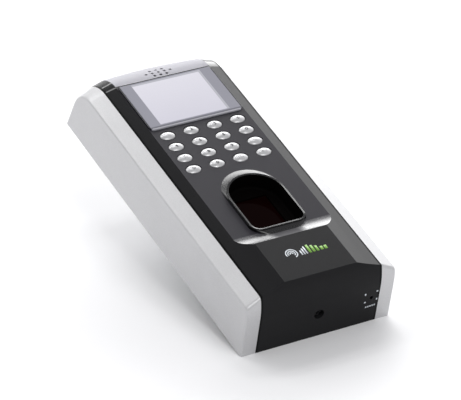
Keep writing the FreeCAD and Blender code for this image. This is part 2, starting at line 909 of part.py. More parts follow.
def display():
    """Window, its tape, the glass panel, its light, its metal frame and its ribbon."""
    window_back = "(%s + window_thick - window_proud)" % PANEL
    window = plate(
        "Window",
        window_back,
        "window_thick",
        rounded("window_half", up("window_low"), up("window_high"), "window_round"),
    )
    front = number("%s - window_proud" % PANEL)
    soften(window, "window_edge", lambda edge: lies_at(edge, front))
    node("display_window", window)
    tape = plate(
        "TapeSheet",
        "(%s + tape_thick)" % window_back,
        "tape_thick",
        rounded("(window_half - 0.3)", up("(window_low + 0.3)"), up("(window_high - 0.3)"), "window_round"),
    )
    sight = box(
        "TapeOpening",
        ("-(view_half + 0.7)", "(view_half + 0.7)"),
        (PANEL, INSIDE),
        (up("(view_low - 0.7)"), up("(view_high + 0.7)")),
    )
    node("window_tape", cut("WindowTape", tape, sight))

    half = "(view_half + view_border)"
    low = up("(view_low - view_border + 0.4)")
    high = up("(view_high + view_border - 0.4)")
    front = "(%s + seam)" % INSIDE
    sheet_thick = "frame_sheet"
    deep = "(%s + frame_sheet + display_thick + light_thick + 0.2)" % front
    shell = box("FrameBlock", ("-" + half, half), (front, deep), (low, high))
    inner_x = "(%s - %s)" % (half, sheet_thick)
    inner_low = "(%s + %s)" % (low, sheet_thick)
    inner_high = "(%s - %s)" % (high, sheet_thick)
    layer = "(%s + frame_sheet)" % front
    pocket = box("FrameHollow", ("-" + inner_x, inner_x), (layer, "0"), (inner_low, inner_high))
    face = box(
        "FrameSight",
        ("-(view_half + 0.4)", "(view_half + 0.4)"),
        ("%s - 1" % front, "0"),
        (up("(view_low - 0.4)"), up("(view_high + 0.4)")),
    )
    node("display_frame", cut("DisplayFrame", shell, pocket, face))
    fit = "0.05"
    across = ("-(%s - %s)" % (inner_x, fit), "(%s - %s)" % (inner_x, fit))
    tall = ("%s + %s" % (inner_low, fit), "%s - %s" % (inner_high, fit))
    node("display_panel", box("DisplayPanel", across, (layer, "%s + display_thick" % layer), tall))
    light = ("%s + display_thick" % layer, "%s + display_thick + light_thick" % layer)
    node("display_backlight", box("Backlight", across, light, tall))

    start = "(%s + display_thick + light_thick)" % layer
    end = BOARD_FRONT
    thin = "0.3"
    ribbon = side_prism(
        "Ribbon",
        [
            (start, up("142"), None),
            ("%s + %s" % (start, thin), up("142"), None),
            ("%s + %s" % (start, thin), up("133.3"), None),
            (end, up("127.3"), None),
            (end, up("119"), None),
            ("%s - %s" % (end, thin), up("119"), None),
            ("%s - %s" % (end, thin), up("127"), None),
            (start, up("133"), None),
        ],
        "5",
    )
    node("display_ribbon", ribbon)


def keypad():
    """Sixteen keys, the silicone mat under them and their circuit board."""
    flange_front = "(%s + key_slack)" % INSIDE
    edge = "(%s + key_edge_sunk)" % PANEL
    rise = "(key_proud + key_edge_sunk)"
    widen = "sqrt(1 - ((key_crown - %s)/key_crown)^2)" % rise
    for index, (x, z) in enumerate(key_places()):
        name = "Key%d" % (index + 1)
        stem = oval(name + "Stem", (x, edge, z), "0", "(%s) - (%s)" % (flange_front, edge))
        flange = oval(name + "Flange", (x, flange_front, z), "flange_extra", "flange_thick")
        crown = doc.addObject("Part::Ellipsoid", name + "Crown")
        crown.setExpression("Radius1", bound("key_crown"))
        crown.setExpression("Radius2", bound("((key_half_wide + dome_spare)/%s)" % widen))
        crown.setExpression("Radius3", bound("((key_half_tall + dome_spare)/%s)" % widen))
        turn_and_place(crown, "y", (x, "%s - key_proud + key_crown" % PANEL, z))
        post = oval(name + "Top", (x, "%s - key_proud - 0.5" % PANEL, z), "0", "%s + 0.5" % rise)
        node("key_%02d" % (index + 1), fuse(name, stem, flange, common(name + "Dome", post, crown)))

    half = "(1.5*key_across + mat_border)"
    tall = "(1.5*%s + mat_border)" % KEY_DOWN
    low = up("(%s - %s)" % (KEY_MIDDLE, tall))
    high = up("(%s + %s)" % (KEY_MIDDLE, tall))
    mat = plate("Mat", KEY_BOARD_FRONT, "mat_thick", rounded(half, low, high, "2"))
    pads = [(x, z, "pad_radius") for x, z in key_places()]
    mat = add_pads(mat, "(%s - mat_thick)" % KEY_BOARD_FRONT, "pad_high", pads)
    node("keypad_mat", mat)

    outer = "(%s + key_post)" % KEY_POST_X
    reach = "(%s + key_post)" % KEY_POST_OUT
    low = up("(%s - %s)" % (KEY_MIDDLE, reach))
    high = up("(%s + %s)" % (KEY_MIDDLE, reach))
    holes = [(x, z, "small_screw") for x, z in key_post_places()]
    board = plate(
        "KeyBoard",
        KEY_BOARD_BACK,
        "key_board_thick",
        rounded(outer, low, high, "1.5"),
        holes,
    )
    node("keypad_board", board)
    node("keypad_screws", group("KeypadScrews", *[
        pan_screw("KeyScrew%d" % i, x, KEY_BOARD_BACK, z, "(key_screw_deep + key_board_thick - 0.4)")
        for i, (x, z) in enumerate(key_post_places())
    ]))


def pan_screw(name, x, seat, z, long):
    """A small screw whose head stands behind its seat and whose shank points to the front."""
    head = cylinder(name + "Head", "y", (x, seat, z), "small_head", "1.2")
    shank = cylinder(name + "Shank", "y", (x, "(%s) - (%s)" % (seat, long), z), "small_screw", long)
    recess = cylinder(name + "Recess", "y", (x, "(%s) + 0.7" % seat, z), "0.7", "1")
    return cut(name, fuse(name + "Solid", head, shank), recess)


# ---------------------------------------------------------------- fingerprint sensor


def sensor():
    """Glass prism, its holder, the lens barrel, the image board and the lamps."""
    floor_front = "(%s + guide_depth)" % PANEL
    floor_back = "(%s + guide_floor)" % floor_front
    face = "(%s + glass_sunk)" % floor_front
    shoulder = "(%s + glass_step)" % face
    apex = "(%s + prism_deep)" % shoulder
    prism = side_prism(
        "Prism",
        [
            (face, up("glass_low"), None),
            (face, up("glass_high"), None),
            (shoulder, up("glass_high"), None),
            (apex, up("(glass_high - prism_deep)"), None),
            (apex, up("(glass_low + prism_deep)"), None),
            (shoulder, up("glass_low"), None),
        ],
        "glass_half",
    )
    node("sensor_prism", prism)

    gap = "glass_gap"
    half = "(glass_half + %s + holder_wall)" % gap
    low = up("(glass_low - %s - holder_wall)" % gap)
    high = up("(glass_high + %s + holder_wall)" % gap)
    back = "(%s + holder_deep)" % floor_back
    block = box("HolderBlock", ("-" + half, half), (floor_back, back), (low, high))
    ear = box(
        "HolderEar",
        ("-(arch_half + guide_wall)", "(arch_half + guide_wall)"),
        (floor_back, "%s + ear_thick" % floor_back),
        ("%s - 4" % EAR_Z, "%s + 4" % EAR_Z),
    )
    hollow = box(
        "HolderHollow",
        ("-(glass_half + %s)" % gap, "(glass_half + %s)" % gap),
        (PANEL, "0"),
        (up("(glass_low - %s)" % gap), up("(glass_high + %s)" % gap)),
    )
    lens_y = "((%s + %s)/2)" % (shoulder, back)
    lens_bore = cylinder("HolderBore", "z", ("0", lens_y, "%s - 1" % low), "lens_radius", "(holder_wall + 2)")
    holes = [
        cylinder("HolderHole%d" % i, "y", (x, PANEL, EAR_Z), "small_screw", "side_depth")
        for i, x in enumerate(EAR_PLACES)
    ]
    node("sensor_holder", cut("SensorHolder", fuse("HolderSolid", block, ear), hollow, lens_bore, *holes))

    bottom = "(%s + holder_wall - lens_long)" % low
    barrel = cylinder("LensTube", "z", ("0", lens_y, bottom), "lens_radius", "lens_long")
    inner_radius = "(lens_radius - 1)"
    bore = cylinder("LensBore", "z", ("0", lens_y, "%s - 1" % bottom), inner_radius, "(lens_long - 1.5)")
    eye = cylinder("LensEye", "z", ("0", lens_y, bottom), "1.2", "(lens_long + 1)")
    node("sensor_lens", cut("SensorLens", barrel, bore, eye))
    depth = ("%s - 6" % lens_y, "%s + 5" % lens_y)
    node("sensor_board", box("SensorBoard", ("-8", "8"), depth, ("%s - board_thick" % bottom, bottom)))
    lamps = []
    for index in range(4):
        middle = "(%s*glass_half/2)" % (index - 1.5)
        lamps.append(
            box(
                "Lamp%d" % index,
                ("%s - lamp/2" % middle, "%s + lamp/2" % middle),
                ("%s + 3" % floor_back, "%s + 3 + lamp" % floor_back),
                (high, "%s + lamp" % high),
            )
        )
    node("sensor_lamps", group("SensorLamps", *lamps))
    screws = []
    for index, x in enumerate(EAR_PLACES):
        seat = "(%s + ear_thick)" % floor_back
        head = cylinder("EarHead%d" % index, "y", (x, seat, EAR_Z), "1.5", "1.2")
        place = (x, "%s - ear_screw_long" % seat, EAR_Z)
        shank = cylinder("EarShank%d" % index, "y", place, "ear_screw", "ear_screw_long")
        screws.append(fuse("EarScrew%d" % index, head, shank))
    node("sensor_screws", group("SensorScrews", *screws))


# ---------------------------------------------------------------- loudspeaker


def tilted_disc(name, distance, radius, thick):
    """A disc square to the speaker's axis, from a distance along it back towards the arc's centre.

    The axis starts at the centre of the casing's top round and leans up by the speaker's tilt.
    """
    disc = doc.addObject("Part::Cylinder", name)
    disc.setExpression("Radius", bound(radius))
    disc.setExpression("Height", bound(thick))
    lean = FreeCAD.Rotation(FreeCAD.Vector(1, 0, 0), 90 - number("speaker_tilt"))
    disc.Placement = FreeCAD.Placement(FreeCAD.Vector(), lean)
    angle = "(speaker_tilt*1deg)"
    start = "(%s - (%s))" % (distance, thick)
    disc.setExpression("Placement.Base.y", bound("%s - %s*cos(%s)" % (ARC_Y, start, angle)))
    disc.setExpression("Placement.Base.z", bound("%s + %s*sin(%s)" % (ARC_Z, start, angle)))
    return disc


def loudspeaker():
    """The speaker behind the sound holes and the foam ring in front of it."""
    wall_radius = "(%s - trim_wall - top_wall)" % FULL_RADIUS
    reach = "(sqrt({w}*{w} - speaker_radius*speaker_radius) - 0.05)".format(w=wall_radius)
    ring = tilted_disc("SpeakerRingDisc", reach, "speaker_radius", "speaker_gasket")
    inner_radius = "(speaker_radius - 1.2)"
    hole = tilted_disc("SpeakerRingHole", "(%s + 1)" % reach, inner_radius, "(speaker_gasket + 2)")
    node("speaker_gasket", cut("SpeakerGasket", ring, hole))
    face = "(%s - speaker_gasket)" % reach
    can = tilted_disc("SpeakerCan", face, "speaker_radius", "speaker_thick")
    dish = tilted_disc("SpeakerDish", "(%s + 1)" % face, "(speaker_radius - 1.5)", "1.8")
    node("speaker", cut("Speaker", can, dish))


# ---------------------------------------------------------------- boards, connectors, switches


def post_places():
    for x in ("-post_x", "post_x"):
        for height in ("post_low", "post_high"):
            yield x, up(height)


def main_board():
    """The main circuit board, with a tongue that carries the reset switch."""
    tongue_in = "(reset_x - 5)"
    tongue_out = "(reset_x + 1.6)"
    tongue_low = up("6")
    low = up("board_low")
    high = up("board_high")
    corners = [
        ("-board_half", low, None),
        (tongue_in, low, None),
        (tongue_in, tongue_low, None),
        (tongue_out, tongue_low, None),
        (tongue_out, up("(board_low + 2)"), None),
        ("board_half", up("(board_low + 2)"), None),
        ("board_half", high, None),
        ("-board_half", high, None),
    ]
    holes = [(x, z, "screw_radius") for x, z in post_places()]
    holes += [(x, up("boss_low"), "(boss_radius + 0.4)") for x in ("-boss_x", "boss_x")]
    board = plate("MainBoard", BOARD_BACK, "board_thick", corners)
    drills = [
        cylinder("BoardHole%d" % i, "y", (x, "-board_front - 1", z), radius, "board_thick + 2")
        for i, (x, z, radius) in enumerate(holes)
    ]
    node("main_board", cut("MainBoardDrilled", board, *drills))
    screws = []
    for index, (x, z) in enumerate(post_places()):
        head = cylinder("BoardHead%d" % index, "y", (x, "-board_front - 1.6", z), "2.2", "1.6")
        shank = cylinder("BoardShank%d" % index, "y", (x, BOARD_FRONT, z), "screw_radius", "6")
        recess = cylinder("BoardRecess%d" % index, "y", (x, "-board_front - 2", z), "0.9", "1.2")
        screws.append(cut("BoardScrew%d" % index, fuse("BoardScrewSolid%d" % index, head, shank), recess))
    node("board_screws", group("BoardScrews", *screws))


def on_board(name, x, height, z):
    """A block standing on the front of the main board."""
    return box(name, x, ("-board_front - (%s)" % height, BOARD_FRONT), (up(z[0]), up(z[1])))


def behind_board(name, x, height, z):
    """A block standing on the back of the main board, towards the wiring opening."""
    return box(name, x, (BOARD_BACK, "%s + %s" % (BOARD_BACK, height)), (up(z[0]), up(z[1])))


def components():
    """What stands on the main board."""
    chips = [
        on_board("Processor", ("-22", "-8"), "1.4", ("96", "110")),
        on_board("Memory", ("-21", "-11"), "1.2", ("111.5", "116.5")),
        on_board("Flash", ("-4", "3"), "1.2", ("99", "105")),
        on_board("Driver", ("-4", "1"), "1.1", ("108", "112")),
    ]
    node("processor_chips", group("Chips", *chips))
    outer = on_board("CanOuter", ("-24", "-6"), "3.2", ("94", "118.5"))
    inner = on_board("CanInner", ("-23.7", "-6.3"), "2.9", ("94.3", "118.2"))
    node("shield_can", cut("ShieldCan", outer, inner))
    node("relay", on_board("Relay", ("6", "21"), "10", ("98", "117")))

    cup = cylinder("BatteryCup", "y", ("-16", "-board_front - 5", up("136")), "9.4", "5")
    nest = cylinder("BatteryNest", "y", ("-16", "-board_front - 6", up("136")), "8.2", "5.3")
    node("battery_holder", cut("BatteryHolder", cup, nest))
    cell = cylinder("Cell", "y", ("-16", "-board_front - 3.9", up("136")), "8", "3.2")
    node("clock_battery", cell)
    drum = cylinder("BuzzerDrum", "y", ("17", "-board_front - 6", up("136")), "6", "6")
    port = cylinder("BuzzerPort", "y", ("17", "-board_front - 7", up("136")), "1", "2.5")
    node("buzzer", cut("Buzzer", drum, port))

    blocks = []
    for index, (low, high, pins) in enumerate((("74", "86", 6), ("60", "72", 6), ("46", "58", 4))):
        pitch = 3.5
        width = pins * pitch
        left = -21.0
        body = behind_board("Terminal%d" % index, (str(left), str(left + width)), "7.2", (low, high))
        tunnels = []
        for pin_index in range(pins):
            middle = left + (pin_index + 0.5) * pitch
            tunnels.append(
                box(
                    "Tunnel%d_%d" % (index, pin_index),
                    (str(middle - 1.2), str(middle + 1.2)),
                    ("%s + 3.2" % BOARD_BACK, "%s + 8" % BOARD_BACK),
                    (up("(%s + 2)" % low), up("(%s - 4)" % high)),
                )
            )
        blocks.append(cut("TerminalBlock%d" % index, body, *tunnels))
    node("wiring_terminals", group("WiringTerminals", *blocks))
    jack = behind_board("JackBody", ("6", "22"), "7.2", ("50", "66"))
    socket = box(
        "JackSocket", ("8", "20"), ("%s + 1.5" % BOARD_BACK, "%s + 6" % BOARD_BACK), (up("49"), up("62"))
    )
    node("network_jack", cut("NetworkJack", jack, socket))


def switches():
    """Reset switch behind its pinhole, and tamper switch against the wall plate."""
    low = up("4.8")
    body = box(
        "ResetBody",
        ("(reset_x - 1.8)", "(reset_x + 1.6)"),
        ("-(reset_y + 2)", BOARD_FRONT),
        (low, up("9.4")),
    )
    bore = cylinder("ResetBore", "z", ("reset_x", "-reset_y", "%s - 1" % low), "(reset_stem + 0.08)", "3.2")
    node("reset_switch", cut("ResetSwitch", body, bore))
    stem = cylinder("ResetStem", "z", ("reset_x", "-reset_y", up("3.3")), "reset_stem", "3.2")
    node("reset_button", stem)

    seat = BOARD_BACK
    top = "(%s - 1)" % COVER_FRONT
    case = box(
        "TamperBody",
        ("(tamper_x - 3)", "(tamper_x + 3)"),
        (seat, top),
        (up("(tamper_z - 3)"), up("(tamper_z + 3)")),
    )
    well = "(%s + 1.4)" % seat
    bore = cylinder("TamperBore", "y", ("tamper_x", well, up("tamper_z")), "(tamper_stem + 0.08)", "10")
    node("tamper_switch", cut("TamperSwitch", case, bore))
    tip = "(-(plate_thick + 0.05))"
    start = "(%s + tamper_travel + 0.1)" % well
    stem = cylinder(
        "TamperStem", "y", ("tamper_x", start, up("tamper_z")), "tamper_stem", "(%s) - (%s)" % (tip, start)
    )
    node("tamper_plunger", stem)


# ---------------------------------------------------------------- rear cover, wall plate, screws


def hook_places():
    return ["-hook_x", "hook_x"]


def rear_cover():
    """The cover that closes the casing's back, with the posts that carry the main board."""
    wide = ("-body_width", "body_width")
    tall = ("-body_height", "body_height")
    slab = box("CoverSlab", wide, (COVER_FRONT, "-cover_back"), tall)
    blank = common("CoverBlank", slab, room("CoverRoom", "(wall + seam)", "(trim_wall + top_wall + seam)"))
    reach = "(%s) - (%s)" % (COVER_FRONT, BOARD_BACK)
    posts = [
        cylinder("BoardPost%d" % i, "y", (x, BOARD_BACK, z), "post_radius", reach)
        for i, (x, z) in enumerate(post_places())
    ]
    solid = fuse("CoverSolid", blank, *posts)
    through = ("-20", "0")
    tools = [
        box("WiringOpening", ("-wiring_half", "wiring_half"), through, (up("wiring_low"), up("wiring_high"))),
        box(
            "TabNotch",
            ("-(tab_half + 1)", "(tab_half + 1)"),
            through,
            (up("0"), up("(tab_z + plate_thick + 2)")),
        ),
        cylinder("TamperHole", "y", ("tamper_x", "-20", up("tamper_z")), "(tamper_stem + 0.4)", "20"),
    ]
    for index, x in enumerate(hook_places()):
        tools.append(
            box(
                "HookSlot%d" % index,
                ("%s - hook_half - 0.6" % x, "%s + hook_half + 0.6" % x),
                through,
                (up("(hook_z - 0.6)"), up("(hook_z + hook_lip + 1)")),
            )
        )
    for index, (x, z) in enumerate(plate_holes()):
        tools.append(cylinder("HeadRoom%d" % index, "y", (x, "-20", z), "5", "20"))
    for index, (x, z) in enumerate(boss_places()):
        tools.append(cylinder("CoverHole%d" % index, "y", (x, "-20", z), "screw_radius", "20"))
        tools.append(countersink("CoverSink%d" % index, x, z))
    for index, (x, z) in enumerate(post_places()):
        tools.append(cylinder("PostBore%d" % index, "y", (x, "-20", z), "screw_radius", "(20 - 5.2)"))
    node("rear_cover", cut("RearCover", solid, *tools))

    ring = "(wiring_half + seal_width)"
    low, high = up("(wiring_low - seal_width)"), up("(wiring_high + seal_width)")
    gap = ("-cover_back", "-plate_thick")
    outside = box("SealOuter", ("-" + ring, ring), gap, (low, high))
    inside = box(
        "SealInner",
        ("-(wiring_half + 0.3)", "(wiring_half + 0.3)"),
        ("-body_width", "0"),
        (up("(wiring_low - 0.3)"), up("(wiring_high + 0.3)")),
    )
    node("cable_seal", cut("CableSeal", outside, inside))


def countersink(name, x, z):
    deep = "(screw_head - screw_radius)"
    return cone(name, "y", (x, "(-cover_back - %s)" % deep, z), "screw_radius", "screw_head", deep)


def plate_holes():
    for x in ("-plate_hole_x", "plate_hole_x"):
        for out in ("-plate_hole_out", "plate_hole_out"):
            yield x, "(%s)" % out


def wall_plate():
    """The steel plate on the wall, with two hooks above and a screw tab below."""
    sheet_body = plate(
        "PlateSheet", "0", "plate_thick", rounded("plate_half", up("plate_low"), up("plate_high"), "5")
    )
    hooks = []
    for index, x in enumerate(hook_places()):
        wide = ("%s - hook_half" % x, "%s + hook_half" % x)
        front = "(%s - 2)" % COVER_FRONT
        foot = up("hook_z")
        arm = box("HookArm%d" % index, wide, (front, "-plate_thick/2"), (foot, up("(hook_z + plate_thick)")))
        behind = (front, "%s + plate_thick" % front)
        lip = box("HookLip%d" % index, wide, behind, (foot, up("(hook_z + hook_lip)")))
        hooks += [arm, lip]
    tab_wide = ("-tab_half", "tab_half")
    tab_top = "(tab_z + plate_thick)"
    leg = box("TabLeg", tab_wide, ("-plate_thick", "0"), (up("tab_z"), up("(plate_low + 4)")))
    tab = box("Tab", tab_wide, ("-(lock_y + 4)", "0"), (up("tab_z"), up(tab_top)))
    solid = fuse("PlateSolid", sheet_body, leg, tab, *hooks)
    cable = plate(
        "CableOpening", "2", "6", rounded("cable_half", up("cable_low"), up("cable_high"), "3")
    )
    tools = [cable, cylinder("TabThread", "z", ("0", "-lock_y", BASE), "(lock_shank + 0.05)", "30")]
    for index, (x, z) in enumerate(plate_holes()):
        tools.append(cylinder("PlateHole%d" % index, "y", (x, "-5", z), "plate_hole", "10"))
    node("wall_plate", cut("WallPlate", solid, *tools))


def fasteners():
    """The four cover screws and the security screw of the bottom end."""
    screws = []
    for index, (x, z) in enumerate(boss_places()):
        head = countersink("CoverHead%d" % index, x, z)
        shank = cylinder(
            "CoverShank%d" % index,
            "y",
            (x, "%s - screw_long + 0.5" % COVER_FRONT, z),
            "screw_radius",
            "(screw_long + cover_thick - 0.5 - (screw_head - screw_radius))",
        )
        recess = cylinder("CoverRecess%d" % index, "y", (x, "-cover_back - 1", z), "0.9", "2")
        screws.append(cut("CoverScrew%d" % index, fuse("CoverScrewSolid%d" % index, head, shank), recess))
    node("cover_screws", group("CoverScrews", *screws))

    head_high = 2.6
    head = cylinder(
        "LockHead", "z", ("0", "-lock_y", up("(lock_seat - %s)" % head_high)), "lock_head", str(head_high)
    )
    shank = cylinder("LockShank", "z", ("0", "-lock_y", up("lock_seat")), "lock_shank", "8.5")
    star = cylinder("LockSocket", "z", ("0", "-lock_y", BASE), "1.3", "(lock_seat - 1)")
    pin_post = cylinder("LockPin", "z", ("0", "-lock_y", up("(lock_seat - 2.4)")), "0.45", "2")
    screw = cut("LockDrilled", fuse("LockSolid", head, shank), star)
    node("security_screw", fuse("SecurityScrew", screw, pin_post))


# ---------------------------------------------------------------- build, test and write

casing()
display()
keypad()
sensor()
loudspeaker()
main_board()
components()
switches()
rear_cover()
wall_plate()
fasteners()
doc.recompute()

faults = [thing.Label for thing in doc.Objects if {"Invalid", "Error"} & set(thing.State)]
faults += [thing.Label for thing in nodes if thing.Shape.isNull() or not thing.Shape.isValid()]
if faults:
    sys.exit("failed objects: " + ", ".join(faults))

os.makedirs("parts", exist_ok=True)
for thing in nodes:
    thing.Shape.exportStep("parts/%s.step" % thing.Label)
print("wrote %d nodes" % len(nodes))
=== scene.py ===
import json
import math

import bmesh
import bpy
import numpy as np
from mathutils import Matrix, Vector

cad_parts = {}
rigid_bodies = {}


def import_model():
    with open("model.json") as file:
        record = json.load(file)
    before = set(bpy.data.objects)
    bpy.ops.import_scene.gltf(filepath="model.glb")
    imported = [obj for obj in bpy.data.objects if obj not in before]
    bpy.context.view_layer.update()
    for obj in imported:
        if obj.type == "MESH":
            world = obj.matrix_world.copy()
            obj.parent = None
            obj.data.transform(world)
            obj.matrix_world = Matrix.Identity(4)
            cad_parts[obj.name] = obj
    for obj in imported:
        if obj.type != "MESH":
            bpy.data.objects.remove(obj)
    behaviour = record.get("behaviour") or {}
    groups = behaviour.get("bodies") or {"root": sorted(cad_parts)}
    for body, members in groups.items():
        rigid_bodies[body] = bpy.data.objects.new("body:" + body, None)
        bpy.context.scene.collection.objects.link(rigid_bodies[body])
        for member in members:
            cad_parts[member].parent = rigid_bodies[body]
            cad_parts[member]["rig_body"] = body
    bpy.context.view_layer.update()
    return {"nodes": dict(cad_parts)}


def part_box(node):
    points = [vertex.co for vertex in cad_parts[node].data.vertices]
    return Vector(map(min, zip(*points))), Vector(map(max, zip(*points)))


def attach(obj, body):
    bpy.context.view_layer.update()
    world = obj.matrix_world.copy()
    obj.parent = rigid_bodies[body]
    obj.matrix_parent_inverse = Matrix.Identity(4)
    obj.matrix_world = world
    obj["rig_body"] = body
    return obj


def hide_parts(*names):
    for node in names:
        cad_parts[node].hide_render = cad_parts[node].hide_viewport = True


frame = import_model()


# ------------------------------------------------------------------ the camera
# The studio camera looks down on the terminal from its lower left, through a long lens.
# Its right and up directions are unit vectors in the terminal's own frame.
CAMERA_PLACE = (-0.6381, -0.9262, -0.8916)
CAMERA_RIGHT = Vector((0.8656, -0.1381, -0.4814))
CAMERA_UP = Vector((0.2229, -0.7546, 0.6172))
LENS = 232.95
SENSOR = 36.0

camera_data = bpy.data.cameras.new("studio_camera")
camera_data.lens = LENS
camera_data.sensor_width = SENSOR
camera_data.clip_start = 0.05
camera = bpy.data.objects.new("studio_camera", camera_data)
camera_back = CAMERA_RIGHT.cross(CAMERA_UP)
turn = Matrix((CAMERA_RIGHT, CAMERA_UP, camera_back)).transposed()
camera.matrix_world = Matrix.Translation(CAMERA_PLACE) @ turn.to_4x4()
bpy.context.scene.collection.objects.link(camera)
bpy.context.scene.camera = camera


# ------------------------------------------------------------------ the studio floor
# A pale sweep of card on which the terminal leans back on its lower back edge.
# It is open from behind, so that the back can be seen through it.
LEAN = math.radians(74)
REST_EDGE = Vector((0.0, 0.0, -0.0915))
FLOOR_UP = Vector((0.0, -math.sin(LEAN), math.cos(LEAN)))
FLOOR_SIDE = Vector((1.0, 0.0, 0.0))
FLOOR_REACH = 2.4


def flat_sheet(name, middle, along, across, reach):
    """A square: middle + s*along + t*across, for s and t from -reach to reach."""
    signs = ((-1, -1), (1, -1), (1, 1), (-1, 1))
    corners = [middle + along * s * reach + across * t * reach for s, t in signs]
    mesh = bpy.data.meshes.new(name)
    mesh.from_pydata([tuple(c) for c in corners], [], [(0, 1, 2, 3)])
    sheet = bpy.data.objects.new(name, mesh)
    bpy.context.scene.collection.objects.link(sheet)
    return sheet


floor = flat_sheet("studio_floor", REST_EDGE, FLOOR_SIDE, FLOOR_UP.cross(FLOOR_SIDE), FLOOR_REACH)
card = bpy.data.materials.new("pale_card")
card.use_nodes = True
nodes, links = card.node_tree.nodes, card.node_tree.links
paper = nodes["Principled BSDF"]
paper.inputs["Base Color"].default_value = (0.86, 0.86, 0.87, 1)
paper.inputs["Roughness"].default_value = 0.9
see_through = nodes.new("ShaderNodeBsdfTransparent")
side = nodes.new("ShaderNodeNewGeometry")
choose = nodes.new("ShaderNodeMixShader")
links.new(side.outputs["Backfacing"], choose.inputs["Fac"])
links.new(paper.outputs["BSDF"], choose.inputs[1])
links.new(see_through.outputs["BSDF"], choose.inputs[2])
links.new(choose.outputs["Shader"], nodes["Material Output"].inputs["Surface"])
floor.data.materials.append(card)


# ------------------------------------------------------------------ the studio light
# A pale room with a greyer ceiling, a tall window behind the terminal's right shoulder,
# a soft box behind its left shoulder, three narrow strip lamps over it and a lamp behind the camera.
CEILING = Vector((0.0, -0.80, 0.60))
ROOM_LIGHT = 0.77
CEILING_LIGHT = 0.40
WINDOW_SIDE = Vector((0.45, 0.10, 0.89))
NEAR_LIGHT = 0.50
FAR_LIGHT = 1.30
FLOOR_AHEAD = FLOOR_UP.cross(FLOOR_SIDE)

room = bpy.data.worlds.new("pale_room")
room.use_nodes = True
nodes, links = room.node_tree.nodes, room.node_tree.links
towards = nodes.new("ShaderNodeTexCoord")
along = nodes.new("ShaderNodeVectorMath")
along.operation = "DOT_PRODUCT"
along.inputs[1].default_value = CEILING
shade = nodes.new("ShaderNodeMapRange")
shade.interpolation_type = "SMOOTHSTEP"
shade.inputs["From Min"].default_value = math.cos(math.radians(60))
shade.inputs["From Max"].default_value = math.cos(math.radians(14))
shade.inputs["To Min"].default_value = ROOM_LIGHT
shade.inputs["To Max"].default_value = CEILING_LIGHT
ahead = nodes.new("ShaderNodeVectorMath")
ahead.operation = "DOT_PRODUCT"
ahead.inputs[1].default_value = WINDOW_SIDE
depth = nodes.new("ShaderNodeMapRange")
depth.inputs["From Min"].default_value = -1.0
depth.inputs["To Min"].default_value = NEAR_LIGHT
depth.inputs["To Max"].default_value = FAR_LIGHT
both = nodes.new("ShaderNodeMath")
both.operation = "MULTIPLY"
links.new(towards.outputs["Generated"], along.inputs[0])
links.new(towards.outputs["Generated"], ahead.inputs[0])
links.new(along.outputs["Value"], shade.inputs["Value"])
links.new(ahead.outputs["Value"], depth.inputs["Value"])
links.new(shade.outputs["Result"], both.inputs[0])
links.new(depth.outputs["Result"], both.inputs[1])
links.new(both.outputs["Value"], nodes["Background"].inputs["Strength"])
nodes["Background"].inputs["Color"].default_value = (0.985, 0.985, 1.0, 1)
bpy.context.scene.world = room
bpy.context.scene.view_settings.view_transform = "Standard"


def soft_box(name, height, bearing, tall, wide, radiance, distance=1.7):
    """A rectangular lamp that faces the terminal.

    Height above the floor, bearing to the right of straight ahead, and both sizes are angles in degrees."""
    high, turned = math.radians(height), math.radians(bearing)
    level = FLOOR_AHEAD * math.cos(turned) + FLOOR_SIDE * math.sin(turned)
    out = level * math.cos(high) + FLOOR_UP * math.sin(high)
    side_way = out.cross(FLOOR_UP).normalized()
    up_way = side_way.cross(out).normalized()
    data = bpy.data.lights.new(name, "AREA")
    data.shape = "RECTANGLE"
    data.size = 2 * distance * math.tan(math.radians(wide) / 2)
    data.size_y = 2 * distance * math.tan(math.radians(tall) / 2)
    data.energy = radiance * math.pi * data.size * data.size_y
    lamp = bpy.data.objects.new(name, data)
    facing = Matrix((side_way, up_way, out)).transposed().to_4x4()
    lamp.matrix_world = Matrix.Translation(out * distance) @ facing
    bpy.context.scene.collection.objects.link(lamp)
    return lamp


soft_box("window_box", height=22, bearing=31, tall=34, wide=32, radiance=6.5)
soft_box("side_box", height=27, bearing=62, tall=26, wide=22, radiance=1.8)
soft_box("left_box", height=48, bearing=-30, tall=26, wide=28, radiance=3.0)
soft_box("near_strip", height=34, bearing=8, tall=4, wide=14, radiance=9.0)
soft_box("far_strip", height=58, bearing=5, tall=4, wide=20, radiance=8.5)
soft_box("over_strip", height=63, bearing=28, tall=6, wide=13, radiance=10.0)
soft_box("rear_box", height=50, bearing=180, tall=14, wide=24, radiance=9.0)


# ------------------------------------------------------------------ the side caps
# Two hollow end caps of injection-moulded ABS, sprayed silver with a fine metal flake.
# They snap onto lugs on the casing, and their outer edges are rounded by a millimetre.
MM = 0.001
CAP_INNER, CAP_OUTER = 32.4, 40.0  # from the middle plane to the seam and to the flat face
SIDE_DEPTH = 27.65
CAP_RISE, FULL_RISE = 3.35, 5.15
TOP_RADIUS, TOP_FALL = 15.8, math.radians(15.1)
END_FLAT, END_RISE, END_RADIUS = 20.0, 1.1, 30.5
CAP_WALL = 2.0
INNER_ROUND, INNER_SIDE_RISE = 0.4, -1.3  # of the inner skin: its front corner, and its rise at the flat face
SIDE_ROUND, END_ROUND, FRONT_ROUND = 1.3, 0.9, 2.0
CAP_COLOUR = (0.52, 0.52, 0.53)
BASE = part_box("front_housing")[0].z / MM
HEIGHT = 183.0
ARC_Y = TOP_RADIUS - SIDE_DEPTH
FULL_RADIUS = TOP_RADIUS + FULL_RISE
ARC_Z = HEIGHT + BASE - FULL_RADIUS * math.cos(TOP_FALL)
ARC_Z -= (FULL_RADIUS * math.sin(TOP_FALL) - ARC_Y) * math.tan(TOP_FALL)


